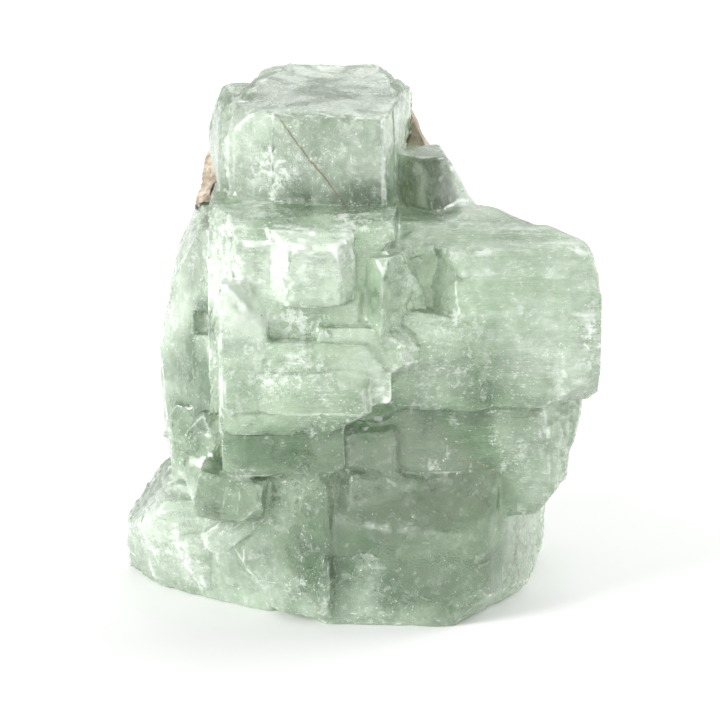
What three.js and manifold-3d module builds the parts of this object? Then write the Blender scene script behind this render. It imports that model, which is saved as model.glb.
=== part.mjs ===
// A hand-sized cluster of green apophyllite: blocky, pseudo-cubic crystals grown through one another,
// with a patch of brown matrix left on the back. Millimetres, +Z up. The cluster stands on a flat cut at
// its foot, and its good side faces -Y.
import * as THREE from "three";
import { mergeVertices } from "three/addons/utils/BufferGeometryUtils.js";
import Module from "manifold-3d";

const wasm = await Module();
wasm.setup();

// Apophyllite is tetragonal: its pyramid faces lie over the prism's edges, tilted this far from the c axis.
const PYRAMID_TILT = THREE.MathUtils.degToRad(60.4);

// One crystal per entry, worked in order.
//   at: its centre. size: width, depth and height before it is turned. turn: degrees about X, Y and Z.
//   c: the long (tetragonal) axis. cut: about how deep the pyramid faces clip the corners, and cuts: the
//   depth at single corners, named by their signs. ledges: slabs of parallel growth on its faces.
//   breaks: bevelled or broken faces, each a point on it and the way it faces.
//   hollow: the space is taken out of what stands before it.
const CRYSTALS = {
  // The back.
  back_upper: { at: [2, 12, 42.5], size: [42, 24, 26], c: "x", turn: [0, 0, 6], cut: 3, ledges: 4 },
  back_lower: { at: [-1, 11, 15], size: [48, 26, 30], c: "x", turn: [0, 0, -4], cut: 3.5, ledges: 4 },
  back_prism: { at: [-13, 17, 32], size: [15, 15, 38], c: "z", turn: [0, 0, 24], cut: 4, ledges: 2 },
  back_stub: { at: [16, 17, 26], size: [17, 16, 22], c: "z", turn: [8, 0, -32], cut: 3.5, ledges: 2 },
  back_high: { at: [9, 21, 41], size: [15, 11, 13], c: "x", turn: [0, 8, 14], cut: 2.5, ledges: 2 },
  back_low: { at: [-4, 21, 19], size: [15, 12, 15], c: "z", turn: [0, 4, -22], cut: 3, ledges: 2 },
  back_left: { at: [-19, 17, 44], size: [12, 14, 15], c: "z", turn: [0, -5, 40], cut: 3, ledges: 1 },
  side_left: { at: [-26.6, 10, 34], size: [10, 12, 17], c: "z", turn: [0, 0, 13], cut: 2, ledges: 1 },
  side_left_low: { at: [-22.4, 15, 14], size: [13, 13, 15], c: "z", turn: [6, 0, 30], cut: 3, ledges: 1 },
  side_right: { at: [25, 9, 29], size: [12, 14, 13], c: "x", turn: [0, 6, 25], cut: 2.5, ledges: 1 },
  side_right_low: { at: [22, 9, 11], size: [12, 12, 17], c: "z", turn: [0, 0, -20], cut: 2.5, ledges: 1 },
  // The striated barrel across the upper right, whose top rolls over into its front.
  barrel: {
    at: [18, -4, 48.3], size: [37, 34, 28], c: "x", turn: [0, 0, 0], cut: 1, cuts: { "+--": 4 }, ledges: 1,
    breaks: [
      [21, 0, 61.2, 0.25, 0.3, 0.92], [30, 0, 56.9, 0.41, 0.28, 0.87], [34.6, -2, 53.9, 0.85, 0.2, 0.49],
      [36.9, -4, 50, 0.97, 0, 0.24], [36.6, -10, 35.8, 0.54, 0, -0.84],
      [20, -20, 52, 0, -0.93, 0.37], [20, -17.5, 56.5, 0, -0.77, 0.64], [20, -13, 59.8, 0, -0.5, 0.87],
      [20, -6, 61.6, 0, -0.15, 0.99], [20, 1, 61.6, 0, 0.3, 0.95], [20, 10, 57.2, 0, 0.7, 0.7],
    ],
  },
  barrel_low: {
    at: [17.5, -5, 41.6], size: [37, 31.5, 12.6], c: "x", turn: [0, 1, 0], cut: 1.5, ledges: 2,
    breaks: [[33.3, -20, 36.4, 0.54, 0, -0.84], [33.5, -18, 40, 0.72, -0.69, 0]],
  },
  // The upper left of the same growth, flat on top, with a pearly end turned to the left front.
  upper_left: {
    at: [-9, -5, 48], size: [29, 32, 31.6], c: "x", turn: [0, 0, 0], cut: 1, ledges: 1,
    breaks: [
      [-21.5, -17.5, 57, -0.76, -0.65, 0], [-22.5, -16, 61.5, -0.7, -0.35, 0.62],
      [-9, -17.5, 63.3, 0, -0.42, 0.91], [-9, -20.4, 61.2, 0, -0.82, 0.57],
    ],
  },
  // Below the barrel, stepped back, its right end tapering down.
  lower_right: {
    at: [18.5, -4.6, 27], size: [31, 30.7, 21], c: "x", turn: [0, 0, 0], cut: 1, cuts: { "+--": 2 }, ledges: 2,
    breaks: [
      [32.6, -8, 26, 0.97, 0, -0.24], [27.8, -8, 18.4, 0.75, 0, -0.66], [29.5, -19, 28, 0.6, -0.8, 0],
    ],
  },
  // The large smooth foot on the right, with a pale flank.
  foot_right: {
    at: [11.5, -5.5, 12], size: [36, 36.4, 25], c: "z", turn: [0, 0, -2], cut: 1, ledges: 0,
    breaks: [
      [21.4, -19.5, 10, 0.9, -0.43, 0.02], [26.8, 3, 4, 0.8, 0.2, -0.56],
      [22.5, -13.8, 1.4, 0.62, -0.42, -0.66], [12, -22, 20, 0, -0.94, 0.34],
    ],
  },
  foot_middle: {
    at: [3, -10.5, 12], size: [14, 23, 24], c: "z", turn: [0, 0, 8], cut: 1.5, ledges: 1,
    breaks: [[3, -21.4, 1.8, 0, -0.55, -0.83]],
  },
  // The left flank, set back behind the front slab.
  left_flank: {
    at: [-19, 2, 36], size: [27.2, 32, 48], c: "z", turn: [0, 0, 0], cut: 2, ledges: 2,
    breaks: [
      [-27, -6, 30, -0.8, -0.6, 0], [-30, 6, 51.3, -0.9, 0, 0.43], [-26.4, 6, 58.5, -0.75, 0, 0.66],
      [-31.7, 4, 44, -0.98, 0, 0.2],
      [-31.3, 4, 24, -0.99, 0, -0.1],
    ],
  },
  flank_low: { at: [-19.5, 0, 21], size: [16, 18, 18], c: "z", turn: [0, 0, -33], cut: 1.5, ledges: 2 },
  flank_hollow: {
    at: [-25.6, -10.5, 44.6], size: [7, 9, 3.4], c: "z", turn: [0, -3, 30], cut: 0.6, ledges: 0, hollow: true,
  },
  wedge: { at: [-23.3, -12.5, 24.5], size: [6, 8, 14.5], c: "z", turn: [0, 10, -35], cut: 2.6, ledges: 0 },
  // The pale wing that reaches out at the lower left.
  left_wing: {
    at: [-25, 1, 7.5], size: [27, 24, 18], c: "x", turn: [0, 0, 0], cut: 1.5, ledges: 4,
    breaks: [
      [-37.4, 1.3, 3.5, -0.88, -0.4, -0.25], [-31.4, -7.2, 3, -0.55, -0.77, -0.32], [-36, 0, 11.4, -0.75, 0, 0.66],
      [-29, 0, 17.2, -0.22, 0, 0.97], [-37.5, 8, 5, -0.85, 0.45, 0.1],
    ],
  },
  foot_left: { at: [-16.5, -4, 8.5], size: [22, 20, 19], c: "z", turn: [0, 0, -32], cut: 1.2, ledges: 2 },
  // The pointed foot: a prism whose lower corners are clipped by wide pyramid faces.
  foot_tip: {
    at: [-10.2, -11.6, 12.6], size: [19.4, 20, 23], c: "z", turn: [0, 0, -25], cut: 1,
    cuts: { "---": 7, "++-": 7, "+--": 0.8, "--+": 2.5 }, ledges: 1,
  },
  foot_lath: { at: [-19.6, -15.6, 14.6], size: [10, 9, 4.2], c: "x", turn: [0, -38, -12], cut: 1, ledges: 0 },
  blue_block: {
    at: [-19.8, -17.6, 20.6], size: [10.6, 12, 7.6], c: "z", turn: [4, 9, -7], cut: 0.4, cuts: { "+--": 2 },
    ledges: 0,
  },
  foot_hollow: {
    at: [-1.4, -23.6, 14.4], size: [4.2, 3.6, 2.4], c: "z", turn: [0, 24, 12], cut: 0.8, ledges: 0, hollow: true,
  },
  foot_chip: { at: [-3.2, -18.6, 18.6], size: [5.6, 7, 6.2], c: "z", turn: [0, 2, 0], cut: 0.5, ledges: 0 },
  middle_block: {
    at: [1.3, -14.6, 26.4], size: [9.6, 13.6, 13.4], c: "z", turn: [0, 0, -4], cut: 0.8, cuts: { "--+": 3 },
    ledges: 1, breaks: [[1.3, -21.4, 30.2, -0.1, -0.66, 0.75]],
  },
  // The front slab and the plates on it.
  slab_foot: { at: [-12, -17.4, 29.5], size: [18.5, 13, 10.4], c: "x", turn: [0, 1, 0], cut: 1, ledges: 1 },
  front_slab: {
    at: [-9.8, -17.3, 38.2], size: [23.4, 14.4, 14.6], c: "x", turn: [0, 0, 0], cut: 0.8, ledges: 2,
    breaks: [[0, -20, 33.8, 0.49, 0, -0.87]],
  },
  slab_corner: {
    at: [-17.8, -17.7, 43.6], size: [7.2, 14, 22.6], c: "z", turn: [0, 0, 2], cut: 1.2, cuts: { "+-+": 4 },
    ledges: 0, breaks: [[-15, -24, 53.5, 0.4, -0.35, 0.85]],
  },
  front_plate: {
    at: [1.2, -19.1, 43], size: [16.6, 9.4, 10.2], c: "x", turn: [0, 1.5, 0], cut: 0.6,
    cuts: { "+-+": 3.2, "+--": 4.2 }, ledges: 0, breaks: [[7.6, -23, 43, 0.5, -0.86, 0]],
  },
  oval_plate: {
    at: [0.4, -19.8, 39.8], size: [9, 9.4, 8], c: "x", turn: [0, 0, 0], cut: 0.6, cuts: { "+-+": 1.8 },
    ledges: 0,
  },
  // The hollow under the barrel's edge, with a prism standing in it, and the block beside it.
  peak_hollow: {
    at: [-5.4, -21.8, 48.9], size: [3.4, 4.4, 4.6], c: "x", turn: [0, 9, 12], cut: 0.7, ledges: 0, hollow: true,
  },
  barrel_hollow: {
    at: [9, -21, 54.6], size: [11.5, 9, 9.5], c: "z", turn: [0, 12, 34], cut: 1.6, ledges: 0, hollow: true,
  },
  centre_peak: {
    at: [4.3, -18.2, 51.6], size: [9.6, 7.6, 14], c: "z", turn: [0, 0, 42], cut: 0.8,
    cuts: { "+-+": 3.4, "+++": 2.5, "-++": 2.2, "--+": 0.9 }, ledges: 0,
  },
  centre_block: {
    at: [-8, -18.5, 56.9], size: [13, 12, 10.8], c: "x", turn: [0, 2, 0], cut: 0.3, ledges: 0,
    breaks: [
      [-13, -22.2, 56, -0.82, -0.57, 0], [-8, -22.6, 61.9, 0, -0.55, 0.83], [-2.6, -23.4, 57, 0.66, -0.75, 0],
      [-5, -24, 51.6, 0.22, -0.1, -0.97],
    ],
  },
  // The block that crowns the cluster, and its neighbours.
  crown: {
    at: [-6.2, 3, 71.5], size: [24.8, 26, 25], c: "z", turn: [0, 0, -10], cut: 1,
    cuts: { "--+": 5, "+++": 3, "+-+": 4, "-++": 3 }, ledges: 0,
    breaks: [
      [-20.2, -7, 68, -0.8, -0.6, 0], [-7, -9.5, 78.1, 0, -0.17, 0.985], [-7, 16, 82, 0, 0.5, 0.86],
      [8.3, 8, 72, 0.93, 0, -0.37], [4.2, 12, 80.4, 0.6, 0, 0.8], [-14, 12, 81.3, -0.35, 0, 0.94],
    ],
  },
  crown_left: {
    at: [-15.2, 4, 70], size: [16.4, 18, 17.2], c: "x", turn: [0, 4, 10], cut: 3.6, cuts: { "-++": 1.5 }, ledges: 1,
    breaks: [
      [-22.5, 0, 77, -0.7, -0.1, 0.7], [-24.5, 0, 73.5, -0.95, 0, 0.3], [-24.2, 0, 72.6, -0.97, -0.1, -0.2],
    ],
  },
  shoulder: {
    at: [9.7, 3, 60.6], size: [12.5, 12.5, 19], c: "z", turn: [0, 0, 52], cut: 1,
    cuts: { "--+": 1.6, "+-+": 5, "-++": 4, "+++": 5 }, ledges: 0,
  },
};

// The brown matrix behind the crown, in chunks laid out as the crystals are.
const MATRIX = {
  right: {
    at: [0.6, 17, 64], size: [24, 15, 21], c: "z", turn: [4, 0, 8], cut: 4, cuts: { "+++": 3, "+-+": 1 },
    ledges: 0, breaks: [[9.4, 12, 71, 0.89, 0, 0.46]],
  },
  left: {
    at: [-15, 16, 60.5], size: [21, 17, 15], c: "z", turn: [-5, 6, -9], cut: 3.5, cuts: { "-++": 5 },
    ledges: 0, breaks: [[-24.1, 6, 63.5, -0.86, -0.2, 0.47]],
  },
  low: { at: [-7, 21.5, 55], size: [15, 9, 10], c: "x", turn: [8, -12, 5], cut: 2.5, ledges: 0 },
};
// The room left between the matrix and the crystals that grew on it.
const SEAM = 0.3;

const CORNERS = ["---", "--+", "-+-", "-++", "+--", "+-+", "++-", "+++"].map((name) => ({
  name,
  signs: [...name].map((mark) => (mark === "+" ? 1 : -1)),
}));

function toSolid(geometry) {
  const bare = geometry.clone();
  bare.deleteAttribute("normal");
  bare.deleteAttribute("uv");
  const merged = mergeVertices(bare, 1e-4);
  return new wasm.Manifold(
    new wasm.Mesh({
      numProp: 3,
      vertProperties: merged.attributes.position.array,
      triVerts: new Uint32Array(merged.index.array),
    }),
  );
}

// The outward normal of the pyramid face that clips a corner.
function pyramidNormal(signs, axis) {
  const across = Math.sin(PYRAMID_TILT) / Math.SQRT2;
  const along = Math.cos(PYRAMID_TILT);
  return new THREE.Vector3(...signs.map((s, i) => s * ("xyz"[i] === axis ? along : across)));
}

// Cuts away all that lies beyond the plane through a point.
function shave(solid, point, facing) {
  const normal = new THREE.Vector3(...facing).normalize();
  return solid.trimByPlane(normal.clone().negate().toArray(), -normal.dot(new THREE.Vector3(...point)));
}

// A box clipped at its corners, in the crystal's own frame. A swell moves each face outward.
function clippedBox({ size, axis, cutOf, offset = [0, 0, 0], swell = 0 }) {
  const box = new THREE.BoxGeometry(...size.map((length) => length + 2 * swell));
  let solid = toSolid(box.translate(...offset));
  for (const { name, signs } of CORNERS) {
    const cut = cutOf(name);
    if (cut <= 0) continue;
    const normal = pyramidNormal(signs, axis);
    const corner = new THREE.Vector3(...signs.map((s, i) => (s * size[i]) / 2 + offset[i]));
    solid = shave(solid, corner.addScaledVector(normal, swell - cut).toArray(), normal.toArray());
  }
  return solid;
}

// A slab that stands a little proud of one prism face, as parallel growth leaves it along the c axis.
// The crystal's own pyramid faces clip it too, a little further out.
function ledge({ size, axis, cutOf, swell }, random) {
  const c = "xyz".indexOf(axis);
  const [face, across] = random() < 0.5 ? [(c + 1) % 3, (c + 2) % 3] : [(c + 2) % 3, (c + 1) % 3];
  const side = random() < 0.5 ? -1 : 1;
  const rise = 0.3 + 0.6 * random();
  const part = [0, 0, 0];
  const offset = [0, 0, 0];
  part[face] = size[face] / 2;
  offset[face] = side * (size[face] / 4 + rise);
  part[c] = size[c] * (0.7 + 0.26 * random());
  offset[c] = (size[c] - part[c]) * (random() - 0.5);
  part[across] = size[across] * (0.2 + 0.35 * random());
  offset[across] = (size[across] - part[across]) * (random() - 0.5);
  const lightCut = (name) => Math.min(cutOf(name), 1.5) * 0.6;
  const clipping = CORNERS.filter(({ name }) => cutOf(name) > rise / 2);
  return clipping.reduce((slab, { name, signs }) => {
    const normal = pyramidNormal(signs, axis);
    const corner = new THREE.Vector3(...signs.map((s, i) => (s * size[i]) / 2));
    const point = corner.addScaledVector(normal, rise / 2 + swell - cutOf(name));
    return shave(slab, point.toArray(), normal.toArray());
  }, clippedBox({ size: part, axis, cutOf: lightCut, offset, swell }));
}

// One crystal in its place.
function crystal({ at, size, c, turn, cut, cuts = {}, ledges = 0, breaks = [] }, seed, swell = 0) {
  const random = randomFrom(seed);
  const uneven = Object.fromEntries(CORNERS.map(({ name }) => [name, cut * (0.35 + 1.3 * random())]));
  const cutOf = (name) => cuts[name] ?? uneven[name];
  const form = { size, axis: c, cutOf, swell };
  const parts = [clippedBox(form)];
  for (let n = 0; n < ledges; n++) parts.push(ledge(form, random));
  const place = new THREE.Matrix4()
    .makeRotationFromEuler(new THREE.Euler(...turn.map(THREE.MathUtils.degToRad), "XYZ"))
    .setPosition(...at);
  const placed = wasm.Manifold.union(parts).transform(place.elements);
  return breaks.reduce((solid, [x, y, z, ...facing]) => {
    const away = new THREE.Vector3(...facing).normalize().multiplyScalar(swell);
    return shave(solid, [x + away.x, y + away.y, z + away.z], facing);
  }, placed);
}

// The crystals joined in order, as one solid. The largest shell is the outside: gaps sealed between
// the crystals are solid in the real cluster.
function joined(specs, swell = 0) {
  const { solid } = Object.values(specs)
    .map((spec, i) => ({ hollow: spec.hollow, solid: crystal(spec, 101 + 17 * i, swell) }))
    .reduce((before, { hollow, solid }) => ({
      solid: hollow ? before.solid.subtract(solid) : before.solid.add(solid),
    }));
  return solid.trimByPlane([0, 0, 1], 0).decompose().reduce(larger);
}

function larger(a, b) {
  return a.volume() > b.volume() ? a : b;
}

// Small repeatable random numbers from 0 to 1.
function randomFrom(seed) {
  let state = seed >>> 0;
  return () => {
    state = (Math.imul(state, 1664525) + 1013904223) >>> 0;
    return state / 4294967296;
  };
}

function toGeometry(solid) {
  const { vertProperties, triVerts, numProp } = solid.getMesh();
  const positions = new Float32Array((vertProperties.length / numProp) * 3);
  for (let v = 0; v < positions.length / 3; v++)
    positions.set(vertProperties.subarray(v * numProp, v * numProp + 3), v * 3);
  return new THREE.BufferGeometry()
    .setAttribute("position", new THREE.BufferAttribute(positions, 3))
    .setIndex(new THREE.BufferAttribute(triVerts, 1));
}

const whole = joined(CRYSTALS);
const stone = joined(MATRIX).subtract(joined(CRYSTALS, SEAM)).decompose().reduce(larger);

// The origin is under the middle of the whole specimen.
const { min, max } = wasm.Manifold.union([whole, stone]).boundingBox();
const middle = [(min[0] + max[0]) / 2, (min[1] + max[1]) / 2];

const SUB_PARTS = [
  { name: "apophyllite_cluster", solid: whole, look: { color: 0xb4c8b2, roughness: 0.3 } },
  { name: "brown_matrix", solid: stone, look: { color: 0x8a7460, roughness: 0.9 } },
];

const group = new THREE.Group();
for (const { name, solid, look } of SUB_PARTS) {
  const geometry = toGeometry(solid).translate(-middle[0], -middle[1], 0);
  const material = new THREE.MeshStandardMaterial({ ...look, metalness: 0, flatShading: true });
  const mesh = new THREE.Mesh(geometry, material);
  mesh.name = name;
  group.add(mesh);
}
export default group;
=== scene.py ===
import itertools
import math

import bmesh
import bpy
import numpy as np
from mathutils import Euler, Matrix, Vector


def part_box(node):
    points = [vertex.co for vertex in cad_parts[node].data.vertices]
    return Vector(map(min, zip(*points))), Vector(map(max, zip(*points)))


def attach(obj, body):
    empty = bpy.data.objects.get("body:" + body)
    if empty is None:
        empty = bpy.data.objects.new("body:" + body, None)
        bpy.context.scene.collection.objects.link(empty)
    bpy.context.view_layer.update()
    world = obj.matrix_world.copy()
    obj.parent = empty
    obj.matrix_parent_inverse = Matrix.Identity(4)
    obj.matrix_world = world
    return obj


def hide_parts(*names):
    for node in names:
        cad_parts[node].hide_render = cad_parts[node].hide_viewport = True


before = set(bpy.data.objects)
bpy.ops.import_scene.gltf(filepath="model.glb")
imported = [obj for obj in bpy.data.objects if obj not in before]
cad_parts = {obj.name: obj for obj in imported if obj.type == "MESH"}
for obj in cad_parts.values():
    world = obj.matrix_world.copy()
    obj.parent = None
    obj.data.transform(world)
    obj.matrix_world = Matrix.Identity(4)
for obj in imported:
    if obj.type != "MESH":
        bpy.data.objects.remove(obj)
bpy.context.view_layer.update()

bl_info = {
    "name": "Apophyllite Cluster",
    "version": (1, 0, 0),
    "blender": (4, 5, 0),
    "location": "3D View > Sidebar > Mineral",
    "description": "Grows a cluster of pale green apophyllite crystals with a patch of brown matrix",
    "category": "Add Mesh",
}

MM = 0.001

# Apophyllite is tetragonal: its pyramid faces lie over the prism's edges, tilted this far from the c axis.
PYRAMID_TILT = math.radians(60.4)
CORNERS = ["".join(marks) for marks in itertools.product("-+", repeat=3)]


def crystal(at, size, c, turn=(0, 0, 0), cut=1, cuts=None, ledges=0, breaks=(), hollow=False):
    """The measures of one crystal, in millimetres and in the cluster's own frame.

    at: its centre. size: width, depth and height before it is turned. c: the long (tetragonal) axis.
    turn: degrees about X, Y and Z. cut: about how deep the pyramid faces clip the corners, and cuts: the
    depth at single corners, named by their signs. ledges: slabs of parallel growth on its faces.
    breaks: bevelled or broken faces, each a point on it and the way it faces. hollow: the space is
    taken out of what stands before it.
    """
    return {
        "at": at, "size": size, "c": "xyz".index(c), "turn": turn, "cut": cut, "cuts": cuts or {},
        "ledges": ledges, "breaks": breaks, "hollow": hollow,
    }


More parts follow.
